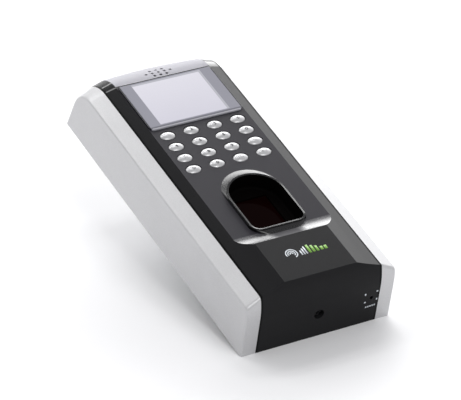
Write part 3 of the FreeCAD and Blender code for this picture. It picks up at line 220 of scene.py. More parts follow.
def bottom_end(y):
    """Height of the bottom end at depth y: a straight rise of END_RISE over END_FLAT, then a circle
    of END_RADIUS that carries on from it."""
    bend = math.atan(END_RISE / END_FLAT)
    middle = END_RADIUS * math.sin(bend) - END_FLAT
    out = np.minimum(y - middle, 0.0)
    round_part = BASE + END_RISE + END_RADIUS * math.cos(bend) - np.sqrt(END_RADIUS**2 - out**2)
    return np.where(y > -END_FLAT, BASE - y * END_RISE / END_FLAT, round_part)


def side_profile(rise, lift=0.0, turn=FRONT_ROUND):
    """Outline of the casing in depth and height, from the wall along the bottom end, round the lower
    front corner, up the front, over the top arc and up the sloping top to the wall."""
    front = -(SIDE_DEPTH + rise)
    end_middle = END_RADIUS * math.sin(math.atan(END_RISE / END_FLAT)) - END_FLAT
    slope = math.asin((front + turn - end_middle) / END_RADIUS)
    foot = float(bottom_end(np.array(front))) + lift
    middle = (front + turn, foot + turn * (1 + math.sin(slope)) / math.cos(slope))
    below = np.linspace(0, 1, 18) * (middle[0] + turn * math.sin(slope))
    corner = np.linspace(1.5 * math.pi + slope, math.pi, 9)
    arc = np.linspace(0, 0.5 * math.pi - TOP_FALL, 26)
    radius = TOP_RADIUS + rise
    upright = np.linspace(middle[1], ARC_Z, 12)[1:-1]
    end = (ARC_Y - radius * math.sin(TOP_FALL), ARC_Z + radius * math.cos(TOP_FALL))
    back = np.linspace(end[0], 0, 6)[1:]
    y = [below, middle[0] + turn * np.cos(corner[1:]), np.full(10, front), ARC_Y - radius * np.cos(arc), back]
    z = [
        bottom_end(below) + lift,
        middle[1] + turn * np.sin(corner[1:]),
        upright,
        ARC_Z + radius * np.sin(arc),
        end[1] + (back - end[0]) * math.tan(TOP_FALL),
    ]
    return np.stack([np.concatenate(y), np.concatenate(z)], axis=1)


def cap_stations():
    """Distance from the middle, rise and lift of each outline: straight over the slanted face, then
    round a circle of SIDE_ROUND onto the flat face, while the bottom lifts round END_ROUND."""
    lean = math.atan2(CAP_OUTER - CAP_INNER, CAP_RISE)
    centre = -SIDE_ROUND * (1 - math.cos(lean)) / math.sin(lean)
    turn = np.linspace(lean, 0, 9)
    x = CAP_OUTER - SIDE_ROUND + SIDE_ROUND * np.cos(turn)
    rise = centre + SIDE_ROUND * np.sin(turn)
    over = np.clip((x - (CAP_OUTER - END_ROUND)) / END_ROUND, 0, 1)
    lift = END_ROUND * (1 - np.sqrt(1 - over**2))
    rows = [(CAP_INNER, CAP_RISE, 0.0), (CAP_INNER + 0.25, CAP_RISE - 0.11, 0.0)]
    return rows + list(zip(x, rise, lift))


def add_mesh(name, points, faces, sharp=30):
    """A mesh piece at the origin, in metres from points in millimetres, smooth but for sharp edges."""
    mesh = bpy.data.meshes.new(name)
    mesh.from_pydata((np.asarray(points) * MM).tolist(), [], faces)
    mesh.validate()
    mesh.shade_smooth()
    mesh.set_sharp_from_angle(angle=math.radians(sharp))
    piece = bpy.data.objects.new(name, mesh)
    bpy.context.scene.collection.objects.link(piece)
    even = piece.modifiers.new("even_normals", "WEIGHTED_NORMAL")
    even.keep_sharp = True
    return piece


def grid_faces(rows, columns, start=0, turned=False, joined=False):
    """Quads between neighbouring rows and columns of a grid of points numbered row by row from start."""
    wide = columns if joined else columns - 1
    row, column = np.meshgrid(np.arange(rows - 1), np.arange(wide), indexing="ij")
    here, beside = row * columns + column, row * columns + (column + 1) % columns
    quads = np.stack([here, beside, beside + columns, here + columns], axis=-1).reshape(-1, 4) + start
    return (quads[:, ::-1] if turned else quads).tolist()


def cap_shell(name, sign):
    """Outer skin, inner skin a wall further in, and flat rims at the seam and at the wall behind."""
    outer = [(x, side_profile(rise, lift)) for x, rise, lift in cap_stations()]
    inner = [
        (CAP_INNER, side_profile(CAP_RISE - CAP_WALL, CAP_WALL, INNER_ROUND)),
        (CAP_OUTER - CAP_WALL, side_profile(INNER_SIDE_RISE, CAP_WALL, INNER_ROUND)),
    ]
    rows = outer + inner
    count = len(outer[0][1])
    points = np.concatenate([np.column_stack([np.full(count, sign * x), line]) for x, line in rows])
    first = np.arange(len(rows)) * count
    last = first + count - 1
    outside, inside = len(outer), len(outer) + 1
    flip = sign > 0
    faces = grid_faces(outside, count, turned=flip)
    faces += grid_faces(2, count, outside * count, turned=not flip)
    faces += [f[::-1] if flip else f for f in (
        list(range(first[outside - 1], last[outside - 1] + 1)),
        list(range(first[inside], last[inside] + 1))[::-1],
    )]
    seam = [[j, j + 1, first[outside] + j + 1, first[outside] + j] for j in range(count - 1)]
    faces += [s if flip else s[::-1] for s in seam]
    back = [
        list(first[:outside]) + [first[inside], first[outside]],
        [first[outside - 1], last[outside - 1], last[inside], first[inside]],
        list(last[:outside])[::-1] + [last[outside], last[inside]],
    ]
    faces += [[int(i) for i in (b[::-1] if flip else b)] for b in back]
    shell = add_mesh(name, points, faces)
    turned_out(shell)
    return shell


def turned_out(piece):
    """Makes every face of a closed shell point outwards."""
    shell = bmesh.new()
    shell.from_mesh(piece.data)
    bmesh.ops.recalc_face_normals(shell, faces=shell.faces)
    shell.to_mesh(piece.data)
    shell.free()


def new_group(name, inputs, outputs):
    """An empty shader group with named sockets, each (name, socket type, start value)."""
    group = bpy.data.node_groups.new(name, "ShaderNodeTree")
    for label, kind, value in inputs:
        group.interface.new_socket(label, in_out="INPUT", socket_type=kind).default_value = value
    for label, kind in outputs:
        group.interface.new_socket(label, in_out="OUTPUT", socket_type=kind)
    return group, group.nodes.new("NodeGroupInput"), group.nodes.new("NodeGroupOutput")


def math_node(tree, operation, *values):
    """One Math node; each of its values is a number or a socket."""
    node = tree.nodes.new("ShaderNodeMath")
    node.operation = operation
    for slot, value in zip(node.inputs, values):
        if isinstance(value, bpy.types.NodeSocket):
            tree.links.new(value, slot)
        else:
            slot.default_value = value
    return node.outputs[0]


def make_grain():
    """Fine relief and tone of a moulded or sprayed surface.

    Tone is a noise of the stated grain size plus slow cloudiness, and Normal is the same grain as relief."""
    group, given, out = new_group(
        "fine_grain",
        [
            ("Grain", "NodeSocketFloat", 3000.0),
            ("Depth", "NodeSocketFloat", 0.1),
            ("Spread", "NodeSocketFloat", 0.1),
            ("Colour", "NodeSocketColor", (0.5, 0.5, 0.5, 1)),
        ],
        [("Colour", "NodeSocketColor"), ("Tone", "NodeSocketFloat"), ("Normal", "NodeSocketVector")],
    )
    place = group.nodes.new("ShaderNodeTexCoord")
    noise = group.nodes.new("ShaderNodeTexNoise")
    noise.inputs["Detail"].default_value = 2.0
    noise.inputs["Roughness"].default_value = 0.6
    clouds = group.nodes.new("ShaderNodeTexNoise")
    clouds.inputs["Scale"].default_value = 60.0
    clouds.inputs["Detail"].default_value = 4.0
    group.links.new(place.outputs["Object"], noise.inputs["Vector"])
    group.links.new(place.outputs["Object"], clouds.inputs["Vector"])
    group.links.new(given.outputs["Grain"], noise.inputs["Scale"])
    fine = math_node(group, "SUBTRACT", noise.outputs["Fac"], 0.5)
    slow = math_node(group, "SUBTRACT", clouds.outputs["Fac"], 0.5)
    tone = math_node(group, "MULTIPLY_ADD", slow, 0.35, fine)
    lift = math_node(group, "MULTIPLY_ADD", tone, given.outputs["Spread"], 1.0)
    scale = group.nodes.new("ShaderNodeVectorMath")
    scale.operation = "SCALE"
    group.links.new(given.outputs["Colour"], scale.inputs[0])
    group.links.new(lift, scale.inputs["Scale"])
    bump = group.nodes.new("ShaderNodeBump")
    bump.inputs["Distance"].default_value = 0.00005
    group.links.new(given.outputs["Depth"], bump.inputs["Strength"])
    group.links.new(noise.outputs["Fac"], bump.inputs["Height"])
    group.links.new(scale.outputs["Vector"], out.inputs["Colour"])
    group.links.new(tone, out.inputs["Tone"])
    group.links.new(bump.outputs["Normal"], out.inputs["Normal"])
    return group


grain = make_grain()


def finish_of(name, colour, rough, size=0.4, depth=0.15, spread=0.12, rough_spread=0.12, **sockets):
    """A Principled finish whose colour, roughness and relief carry the fine grain, of size in millimetres."""
    material = bpy.data.materials.new(name)
    material.use_nodes = True
    tree = material.node_tree
    shader = tree.nodes["Principled BSDF"]
    for label, value in sockets.items():
        shader.inputs[label.replace("_", " ")].default_value = value
    surface = tree.nodes.new("ShaderNodeGroup")
    surface.name = "grain"
    surface.node_tree = grain
    surface.inputs["Grain"].default_value = 1.0 / (size * MM)
    surface.inputs["Depth"].default_value = depth
    surface.inputs["Spread"].default_value = spread
    surface.inputs["Colour"].default_value = (*colour, 1)
    tree.links.new(surface.outputs["Colour"], shader.inputs["Base Color"])
    tree.links.new(surface.outputs["Normal"], shader.inputs["Normal"])
    wander = math_node(tree, "MULTIPLY_ADD", surface.outputs["Tone"], rough_spread, rough)
    wander.node.name = "roughness"
    tree.links.new(wander, shader.inputs["Roughness"])
    return material


def belongs(piece, slot, *replaced, body="terminal"):
    """The piece rides on the body and stands for the replaced nodes; the slot is not used."""
    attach(piece, body)
    if replaced:
        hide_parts(*replaced)
    return piece


silver_paint = finish_of(
    "silver_paint", CAP_COLOUR, 0.42, size=0.35, depth=0.3, spread=0.34,
    Metallic=0.3, Coat_Weight=0.5, Coat_Roughness=0.12,
)
for side, sign in (("left", -1), ("right", 1)):
    cap = cap_shell("cap_" + side, sign)
    cap.data.materials.append(silver_paint)
    belongs(cap, "silver_paint", "side_cap_" + side)


# ------------------------------------------------------------------ the front housing
# The black casing of moulded ABS: slanted strips, keypad panel, ramp, plateau and bottom end.
# The strips are polished, the keypad panel is coloured a lighter dark grey than the rest with a satin finish,
# and the rest a fine matt texture.
SEAM_TOLERANCE = 2e-6
PANEL_COLOUR = (0.021, 0.0198, 0.0255)
GAP_SHADE_AT = 31.4  # painted shade of the gap beside the side caps starts this far from the middle
SHADED_HALF, SHADE_EDGE = 5.5, 4.0  # the ramp under the finger guide is dull this far aside, then fades
DULLER = 0.55
CASING_COLOUR = (0.010, 0.010, 0.011)
STRIP_COLOUR = (0.005, 0.005, 0.006)
PANEL = -32.8
RAMP_LOW, RAMP_HIGH = 33.5, 41.6
STRIP_LEAN = 0.12  # a face whose normal leans aside by more is a strip
STRIP_INNER, LOW_STRIP_INNER = 25.5, 16.0  # strips lie beyond this, above and below the ramp
FACING, FLAT_FACING, FLUSH = 0.3, 0.999, 0.05


def softened(node, edge, steps=3, bevel_from=24, crease_from=12):
    """The CAD node's own surface with its loose triangles joined and its corners rounded by edge.

    A corner turns by more than bevel_from degrees, and one over crease_from stays crisp."""
    source = frame["nodes"][node]
    mesh = bpy.data.meshes.new(node + "_shell")
    shell = bmesh.new()
    shell.from_mesh(source.data)
    bmesh.ops.remove_doubles(shell, verts=shell.verts, dist=SEAM_TOLERANCE)
    bmesh.ops.dissolve_limit(shell, angle_limit=math.radians(0.3), verts=shell.verts, edges=shell.edges)
    shell.to_mesh(mesh)
    shell.free()
    if "custom_normal" in mesh.attributes:
        mesh.attributes.remove(mesh.attributes["custom_normal"])
    mesh.materials.clear()
    mesh.shade_smooth()
    mesh.set_sharp_from_angle(angle=math.radians(crease_from))
    piece = bpy.data.objects.new(node + "_shell", mesh)
    bpy.context.scene.collection.objects.link(piece)
    rounding = piece.modifiers.new("edge", "BEVEL")
    rounding.width = edge * MM
    rounding.segments = steps
    rounding.limit_method = "ANGLE"
    rounding.angle_limit = math.radians(bevel_from)
    even = piece.modifiers.new("even_normals", "WEIGHTED_NORMAL")
    even.keep_sharp = True
    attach(piece, source["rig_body"])
    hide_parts(node)
    return piece


def step_mask(tree, value, start, end):
    """0 where value is below start, 1 above end, in millimetres of the object's own frame."""
    ramp = tree.nodes.new("ShaderNodeMapRange")
    ramp.inputs["From Min"].default_value = start
    ramp.inputs["From Max"].default_value = end
    tree.links.new(value, ramp.inputs["Value"])
    return ramp.outputs["Result"]


def blend_colours(tree, mask, first, second):
    """The first colour where the mask is 0 and the second where it is 1; each is a socket or a colour."""
    mix = tree.nodes.new("ShaderNodeMix")
    mix.data_type = "RGBA"
    tree.links.new(mask, mix.inputs["Factor"])
    for slot, value in ((mix.inputs[6], first), (mix.inputs[7], second)):
        if isinstance(value, bpy.types.NodeSocket):
            tree.links.new(value, slot)
        else:
            slot.default_value = (*value, 1)
    return mix.outputs[2]


def with_gap_shade(material, colour, coat=0.0):
    """Paints a black band on the casing next to the side caps, a painted shade that stands for the shadow in
    the narrow gap between casing and caps, and takes the clear coat off the band.
    """
    tree = material.node_tree
    place = tree.nodes.new("ShaderNodeTexCoord")
    spot = tree.nodes.new("ShaderNodeSeparateXYZ")
    tree.links.new(place.outputs["Object"], spot.inputs[0])
    across = math_node(tree, "MULTIPLY", math_node(tree, "ABSOLUTE", spot.outputs["X"]), 1 / MM)
    # painted shade: the casing turns black in its last millimetre beside the side caps, for the gap's shadow,
    # and loses its coat there
    seam = step_mask(tree, across, GAP_SHADE_AT - 0.03, GAP_SHADE_AT)
    tree.links.new(blend_colours(tree, seam, colour, (0.0, 0.0, 0.0)), tree.nodes["grain"].inputs["Colour"])
    if coat:
        cover = math_node(tree, "MULTIPLY_ADD", seam, -coat, coat)
        tree.links.new(cover, tree.nodes["Principled BSDF"].inputs["Coat Weight"])
    return material, across


def ramp_finish():
    """Glossy finish over the ramp in the keypad panel's grey, rougher in its middle under the finger guide.
    """
    film = finish_of("ramp_gloss", PANEL_COLOUR, 0.28, size=0.3, depth=0.1, spread=0.2, Specular_IOR_Level=1.0)
    material, across = with_gap_shade(film, PANEL_COLOUR)
    tree = material.node_tree
    dull = step_mask(tree, across, SHADED_HALF + SHADE_EDGE, SHADED_HALF)
    rough = math_node(tree, "MULTIPLY_ADD", dull, DULLER, tree.nodes["roughness"].outputs[0])
    tree.links.new(rough, tree.nodes["Principled BSDF"].inputs["Roughness"])
    return material


def casing_zones(mesh):
    """Which finish each face takes: 0 matt, 1 polished strip, 2 panel film, 3 ramp."""
    count = len(mesh.polygons)
    middle, normal = np.empty(count * 3, np.float32), np.empty(count * 3, np.float32)
    mesh.polygons.foreach_get("center", middle)
    mesh.polygons.foreach_get("normal", normal)
    middle, normal = middle.reshape(-1, 3) / MM, normal.reshape(-1, 3)
    across, level = np.abs(middle[:, 0]), middle[:, 2] - BASE
    leans = np.abs(normal[:, 0]) > STRIP_LEAN
    zone = np.zeros(count, np.int32)
    inner = np.where(level < RAMP_LOW, LOW_STRIP_INNER, STRIP_INNER)
    zone[(normal[:, 1] < -FACING) & leans & (across > inner)] = 1
    zone[(normal[:, 1] < -FLAT_FACING) & (np.abs(middle[:, 1] - PANEL) < FLUSH)] = 2
    near = (level > RAMP_LOW) & (level < RAMP_HIGH) & (across < 26.5) & (middle[:, 1] < PANEL + FLUSH)
    zone[near & (normal[:, 1] < -0.7) & (np.abs(normal[:, 2]) > 0.01) & ~leans] = 3
    return zone


housing = softened("front_housing", 0.35, steps=2)
matt = finish_of(
    "casing_matt", CASING_COLOUR, 0.44, size=0.3, depth=0.22, spread=0.35, Specular_IOR_Level=0.12
)
polish = finish_of(
    "casing_polish", STRIP_COLOUR, 0.3, size=0.6, depth=0.02, spread=0.2,
    Specular_IOR_Level=0.04, Coat_Roughness=0.02,
)
panel_grey = finish_of(
    "panel_grey", PANEL_COLOUR, 0.44, size=0.3, depth=0.16, spread=0.3, Specular_IOR_Level=0.17
)
# the matt and polished finishes carry the painted gap shade beside the side caps
with_gap_shade(matt, CASING_COLOUR)
with_gap_shade(polish, STRIP_COLOUR, coat=0.42)
for material in (matt, polish, panel_grey, ramp_finish()):
    housing.data.materials.append(material)
housing.data.polygons.foreach_set("material_index", casing_zones(housing.data))


# ------------------------------------------------------------------ the top trim
# A curved cover of ABS over the top end, painted pearl silver, with the speaker's sound holes.
# Dark felt lies behind the holes.
SOUND_HOLE, SOUND_PITCH, SOUND_ROW, SOUND_HEIGHT = 0.75, 3.35, 2.65, 164.3
SOUND_ROWS = ((1, 3), (0, 5), (-1, 3))
FELT_UNDER, FELT_SPARE, FELT_THICK = 0.25, 0.1, 0.3
DISC_POINTS = 20
pearl = finish_of(
    "pearl_paint", (0.34, 0.335, 0.37), 0.6, size=0.3, depth=0.12, spread=0.10, Specular_IOR_Level=0.25
)
trim = softened("top_trim", 0.15, steps=2)
trim.data.materials.append(pearl)


def front_depth(height):
    """Depth of the casing's middle front at a height over the bottom end: flat, then the top arc."""
    up = np.maximum(height + BASE - ARC_Z, 0.0)
    return ARC_Y - np.sqrt(FULL_RADIUS**2 - up**2)


def hole_bottoms():
    """A round disc of dark felt inside each sound hole, parallel to the skin and a little under it."""
    points, faces = [], []
    turn = np.arange(DISC_POINTS) * 2 * np.pi / DISC_POINTS
    reach = SOUND_HOLE + FELT_SPARE
    for level, count in SOUND_ROWS:
        for index in range(count):
            x = (index - (count - 1) / 2) * SOUND_PITCH + reach * np.cos(turn)
            height = SOUND_HEIGHT + level * SOUND_ROW + reach * np.sin(turn)
            faces.append(list(range(len(points), len(points) + DISC_POINTS)))
            points += np.column_stack([x, front_depth(height) + FELT_UNDER, height + BASE]).tolist()
    return points, faces


felt = add_mesh("sound_felt", *hole_bottoms())
thick = felt.modifiers.new("felt", "SOLIDIFY")
thick.thickness = FELT_THICK * MM
thick.offset = -1
felt_black = finish_of(
    "felt_black", (0.004, 0.004, 0.005), 0.9, size=0.15, depth=0.5, spread=0.6, Specular_IOR_Level=0.05
)
felt.data.materials.append(felt_black)
belongs(felt, "foam")


# ------------------------------------------------------------------ the finger guide
# The raised collar and tub round the finger opening, one gloss black moulding. Its rim is a
# thin polished lip, and its outside runs down steeply at the sides and gently above.
OPENING = (13.8, 42.6, 78.6, 4.0)  # half width, lowest, highest and corner radius
LIP, LIP_CROWN = 1.15, 0.62
FOOT = (15.15, 37.4, 84.0, 12.0)
FOOT_UNDER, BACK_UNDER = 2.0, 0.4  # how far the foot's edge and the collar's back lie behind the panel
RIM_RISE, FLANK_CURVE = 1.6, 1.25
TUB_DEPTH, TUB_FLOOR, TUB_WALL, TUB_BEND = 6.8, 1.6, 1.4, 1.2
GLASS = (9.15, 46.85, 71.15)
BASE_STEPS, BEND_STEPS, SIDE_STEPS, TOP_STEPS = 8, 9, 10, 24
INNER_ROWS = 8  # rows of faces of the floor and the inner wall, up to the rim
LIP_ROWS = 23  # rows of faces up to the outer edge of the lip
RIM_ROUND, RIM_FALL, RIM_CREST = 0.06, 0.14, 0.9  # inner edge, inward fall and place of the crest


def arch_loop(half, low, high, corner):
    """Half-round top on a base with rounded corners, as a closed loop that starts at the bottom's middle."""
    base = np.linspace(0, half - corner, BASE_STEPS + 1)[:-1]
    base = np.stack([base, np.full(BASE_STEPS, low)], 1)
    turn = np.linspace(-0.5 * np.pi, 0, BEND_STEPS + 1)[:-1]
    bend = np.stack([half - corner + corner * np.cos(turn), low + corner + corner * np.sin(turn)], 1)
    spring = high - half
    side = np.linspace(low + corner, spring, SIDE_STEPS + 1)[:-1]
    side = np.stack([np.full(SIDE_STEPS, half), side], 1)
    over = np.linspace(0, 0.5 * np.pi, TOP_STEPS + 1)
    top = np.stack([half * np.cos(over), spring + half * np.sin(over)], 1)
    right = np.concatenate([base, bend, side, top])
    left = right[1:-1][::-1] * (-1, 1)
    return np.concatenate([right, left])


def pane_loop(half, low, high):
    """A rectangle with as many points as an arch, each on the ray that the arch's point would take."""
    corner = 1.0
    base = np.stack([np.linspace(0, half, BASE_STEPS + 1)[:-1], np.full(BASE_STEPS, low)], 1)
    bend = np.linspace(low, low + corner, BEND_STEPS + 1)[:-1]
    bend = np.stack([np.full(BEND_STEPS, half), bend], 1)
    spring = high - half
    side = np.linspace(low + corner, spring, SIDE_STEPS + 1)[:-1]
    side = np.stack([np.full(SIDE_STEPS, half), side], 1)
    over = np.linspace(0, 0.5 * np.pi, TOP_STEPS + 1)
    reach = half / np.maximum(np.cos(over), np.sin(over))
    top = np.stack([reach * np.cos(over), spring + reach * np.sin(over)], 1)
    right = np.concatenate([base, bend, side, top])
    left = right[1:-1][::-1] * (-1, 1)
    return np.concatenate([right, left])


def widened(size, by):
    """The arch outline moved outwards by a distance."""
    half, low, high, corner = size
    return arch_loop(half + by, low - by, high + by, corner + by)


def guide_rows():
    """Loops with their depth: across the tub's floor, up its wall, over the lip, which falls a little
    inwards from its crest, down the outside to the panel, and back behind the panel to the floor."""
    floor_y = PANEL + TUB_DEPTH
    rim_y = PANEL - RIM_RISE
    rows = [(pane_loop(*GLASS), floor_y + TUB_FLOOR), (pane_loop(*GLASS), floor_y)]
    for turn in np.linspace(0, 0.5 * np.pi, 6):
        inwards = TUB_BEND * (1 - math.sin(turn))
        rows.append((widened(OPENING, -inwards), floor_y - TUB_BEND * (1 - math.cos(turn))))
    for turn in np.linspace(0, 0.5 * np.pi, 7):
        depth = rim_y + RIM_FALL + RIM_ROUND * (1 - math.sin(turn))
        rows.append((widened(OPENING, RIM_ROUND * (1 - math.cos(turn))), depth))
    for share in np.linspace(0, 1, 5)[1:]:
        offset = RIM_ROUND + (RIM_CREST - RIM_ROUND) * share
        rows.append((widened(OPENING, offset), rim_y + RIM_FALL * (1 - share)))
    for turn in np.linspace(0, 0.5 * np.pi, 6)[1:]:
        offset = RIM_CREST + (LIP - RIM_CREST) * math.sin(turn)
        rows.append((widened(OPENING, offset), rim_y + LIP_CROWN * (1 - math.cos(turn))))
    lip, foot = widened(OPENING, LIP), arch_loop(*FOOT)
    for share in np.linspace(0, 1, 12)[1:]:
        rise = (RIM_RISE - LIP_CROWN) * (1 - share**FLANK_CURVE)
        rows.append((lip * (1 - share) + foot * share, PANEL - rise))
    rows.append((foot, PANEL + FOOT_UNDER))
    tub = widened(OPENING, TUB_WALL)
    rows += [(tub, PANEL + BACK_UNDER), (tub, floor_y + TUB_FLOOR)]
    return rows


def guide_shell(name):
    """The loops joined into one closed shell, with a finish each for the tub, the lip and the outside."""
    rows = guide_rows()
    count = len(rows[0][0])
    points = np.concatenate([
        np.column_stack([loop[:, 0], np.full(count, depth), loop[:, 1] + BASE])
        for loop, depth in rows
    ])
    faces = grid_faces(len(rows), count, joined=True)
    end = (len(rows) - 1) * count
    faces += [[(j + 1) % count, j, end + j, end + (j + 1) % count] for j in range(count)]
    piece = add_mesh(name, points, faces, sharp=35)
    turned_out(piece)
    parts = np.zeros(len(faces), dtype=np.int32)
    parts[: INNER_ROWS * count] = 1
    parts[LIP_ROWS * count :] = 2
    piece.data.polygons.foreach_set("material_index", parts)
    return piece


guide = guide_shell("finger_collar")
gloss_black = finish_of("gloss_black", (0.006, 0.006, 0.007), 0.16, size=0.6, depth=0.03, spread=0.2)
tub_black = finish_of(
    "tub_black", (0.0016, 0.0012, 0.0012), 0.7, size=0.3, depth=0.2, spread=0.3, Specular_IOR_Level=0.02
)
satin_black = finish_of("satin_black", (0.006, 0.006, 0.007), 0.27, size=0.4, depth=0.05, spread=0.3)
for material in (gloss_black, tub_black, satin_black):
    guide.data.materials.append(material)
belongs(guide, "black_plastic", "finger_guide")


# ------------------------------------------------------------------ the keys
# Sixteen oval caps, moulded and sprayed satin silver, slightly domed, their rims just under the panel.
# Each slides in a hole of the panel on a flange that its moulding carries behind.
KEY_HALF_WIDE, KEY_HALF_TALL = 3.85, 2.8
KEY_PROUD, KEY_SUNK, KEY_CROWN = 0.75, 0.25, 2.0
FLANGE_EXTRA, FLANGE_FRONT, FLANGE_BACK = 0.65, 2.1, 2.9
KEY_TURNS = 56


def dome_height(share):
    """Height over the panel of the ellipsoid dome, at a share of the way from its middle to its rim."""
    spread = 1 - ((KEY_CROWN - KEY_PROUD - KEY_SUNK) / KEY_CROWN) ** 2
    return KEY_PROUD - KEY_CROWN + KEY_CROWN * np.sqrt(1 - spread * share**2)


def key_profile():
    """Half width, half height and height over the panel of each ring: the dome, a rounded rim, the
    straight skirt, the flange behind the panel and its flat back."""
    share = np.concatenate([np.linspace(0.12, 0.92, 9), [0.96, 0.985]])
    rows = [(KEY_HALF_WIDE * t, KEY_HALF_TALL * t, dome_height(t)) for t in share]
    out = (KEY_HALF_WIDE, KEY_HALF_TALL)
    wide = (KEY_HALF_WIDE + FLANGE_EXTRA, KEY_HALF_TALL + FLANGE_EXTRA)
    rows += [(*out, -KEY_SUNK - 0.06), (*out, -KEY_SUNK - 0.3), (*out, -FLANGE_FRONT)]
    return np.array(rows + [(*wide, -FLANGE_FRONT), (*wide, -FLANGE_BACK)])


def key_surface(x, z):
    """The rings as ellipses about the key's axis; the two poles are single points."""
    rows = key_profile()
    turn = np.arange(KEY_TURNS) * 2 * np.pi / KEY_TURNS
    rings = np.stack([
        x + rows[:, :1] * np.cos(turn),
        PANEL - rows[:, 2:] + 0 * turn,
        z + rows[:, 1:2] * np.sin(turn),
    ], axis=-1).reshape(-1, 3)
    points = np.concatenate([rings, [(x, PANEL - KEY_PROUD, z), (x, PANEL + FLANGE_BACK, z)]])
    faces = grid_faces(len(rows), KEY_TURNS, joined=True)
    top, bottom, final = len(rings), len(rings) + 1, (len(rows) - 1) * KEY_TURNS
    faces += [[top, (j + 1) % KEY_TURNS, j] for j in range(KEY_TURNS)]
    faces += [[bottom, final + j, final + (j + 1) % KEY_TURNS] for j in range(KEY_TURNS)]
    return points, faces


def figure_mesh(text, tall):
    """Outline points and faces of a figure, tall millimetres high and centred on the origin."""
    curve = bpy.data.curves.new("figure", "FONT")
    curve.body = text
    curve.resolution_u = 4
    curve.offset = 0.025
    holder = bpy.data.objects.new("figure", curve)
    bpy.context.scene.collection.objects.link(holder)
    bpy.context.view_layer.update()
    made = bpy.data.meshes.new_from_object(holder)
    points = np.array([v.co[:2] for v in made.vertices])
    faces = [list(p.vertices) for p in made.polygons]
    bpy.data.objects.remove(holder)
    bpy.data.curves.remove(curve)
    bpy.data.meshes.remove(made)
    low, high = points.min(0), points.max(0)
    return (points - (low + high) / 2) * tall / (high[1] - low[1]), faces


def bar(x, y, wide, tall):
    """A rectangle about (x, y), as its four corner points."""
    left, right, low, high = x - wide / 2, x + wide / 2, y - tall / 2, y + tall / 2
    return [(left, low), (right, low), (right, high), (left, high)]


def ring(x, y, outer, inner, first=0.0, last=360.0):
    """Quads of a flat ring about (x, y), from one angle to another in degrees."""
    steps = 24
    turn = np.radians(np.linspace(first, last, steps + 1))
    out = np.stack([x + outer * np.cos(turn), y + outer * np.sin(turn)], 1)
    inn = np.stack([x + inner * np.cos(turn), y + inner * np.sin(turn)], 1)
    return [[inn[j], out[j], out[j + 1], inn[j + 1]] for j in range(steps)]


def flat_shapes(polygons):
    """Points and faces of separate polygons."""
    points, faces = [], []
    for polygon in polygons:
        faces.append(list(range(len(points), len(points) + len(polygon))))
        points += [tuple(p) for p in polygon]
    return np.array(points, float), faces


BELL = [(-0.9, -0.5), (0.9, -0.5), (0.55, 0.2), (0.3, 0.75), (-0.3, 0.75), (-0.55, 0.2)]
ARROW = [(-1.5, -0.1), (-0.6, -0.7), (-0.6, 0.5)]
SYMBOLS = {
    "bell": flat_shapes([BELL, bar(0, -0.8, 0.5, 0.25)]),
    "ring": flat_shapes(ring(0, 0, 0.85, 0.45)),
    "down": flat_shapes([[(-0.85, 0.5), (0, -0.7), (0.85, 0.5)]]),
    "power": flat_shapes(ring(0, 0, 0.85, 0.6, 120, 420) + [bar(0, 0.6, 0.25, 0.8)]),
    "lines": flat_shapes([bar(0, d, 2.6, 0.32) for d in (-0.65, 0.0, 0.65)]),
    "return": flat_shapes([bar(0.35, -0.1, 2.0, 0.32), ARROW, bar(1.2, 0.3, 0.32, 1.1)]),
}
KEY_MARKS = ["1", "2", "3", "bell", "4", "5", "6", "ring", "7", "8", "9", "down"]
KEY_MARKS += ["power", "0", "lines", "return"]
MARK_TALL, MARK_PROUD, MARK_THICK = 2.0, 0.03, 0.03


def ink_film(piece, thick):
    """Gives a flat print a thickness in millimetres."""
    film = piece.modifiers.new("ink", "SOLIDIFY")
    film.thickness = thick * MM
    film.offset = -1


def key_print(name, mark, x, z):
    """The printed mark laid on the dome: each point of its outline takes the dome's height."""
    flat, faces = SYMBOLS[mark] if mark in SYMBOLS else figure_mesh(mark, MARK_TALL)
    share = np.hypot(flat[:, 0] / KEY_HALF_WIDE, flat[:, 1] / KEY_HALF_TALL)
    height = dome_height(share) + MARK_PROUD
    points = np.column_stack([x + flat[:, 0], PANEL - height, z + flat[:, 1]])
    piece = add_mesh(name, points, faces)
    ink_film(piece, MARK_THICK)
    return piece


key_silver = finish_of("key_silver", (0.50, 0.50, 0.51), 0.34, size=0.3, depth=0.1, spread=0.1, Metallic=0.35)
grey_ink = finish_of("grey_ink", (0.02, 0.02, 0.024), 0.6, size=0.5, depth=0.05, spread=0.2)
for number in range(1, 17):
    node = "key_%02d" % number
    low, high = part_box(node)
    x, z = (low.x + high.x) / 2 / MM, (low.z + high.z) / 2 / MM
    cap = add_mesh("cap_of_" + node, *key_surface(x, z), sharp=40)
    turned_out(cap)
    cap.data.materials.append(key_silver)
    belongs(cap, "key_silver", node, body=node + "_cap")
    mark = key_print("mark_of_" + node, KEY_MARKS[number - 1], x, z)
    mark.data.materials.append(grey_ink)
    belongs(mark, "key_silver", body=node + "_cap")


# ------------------------------------------------------------------ the display window
# A flat pane of acrylic, printed silver-grey from behind round the clear sight area, where the
# grey display shows. A darker band lies under the sight area, and a painted shade along its top and
# right stands for the shadow that the pane throws on the display.
BORDER_COLOUR = (0.265, 0.265, 0.305)
SIGHT_TOP, SIGHT_LOW = (0.66, 0.65, 0.71), (0.58, 0.57, 0.64)
SHADE_COLOUR = (0.42, 0.42, 0.465)
SIGHT = (19.0, BASE + 126.3, BASE + 157.4)
FOOT_COLOUR, LINE_COLOUR = (0.15, 0.15, 0.175), (0.42, 0.42, 0.46)
SHADE = 1.3  # width of the shade that the pane throws on the display's top and right
WINDOW_HALF, WINDOW_LOW, WINDOW_HIGH = 25.6, BASE + 123.9, BASE + 159.2
SIDE_GAP, TOP_GAP, LINE_TALL = 0.75, 1.0, 0.65  # dark edge at the sides and the top, light line at the foot
FOOT_UNDER_SIGHT = 0.9
GAP_COLOUR = (0.01, 0.01, 0.015)


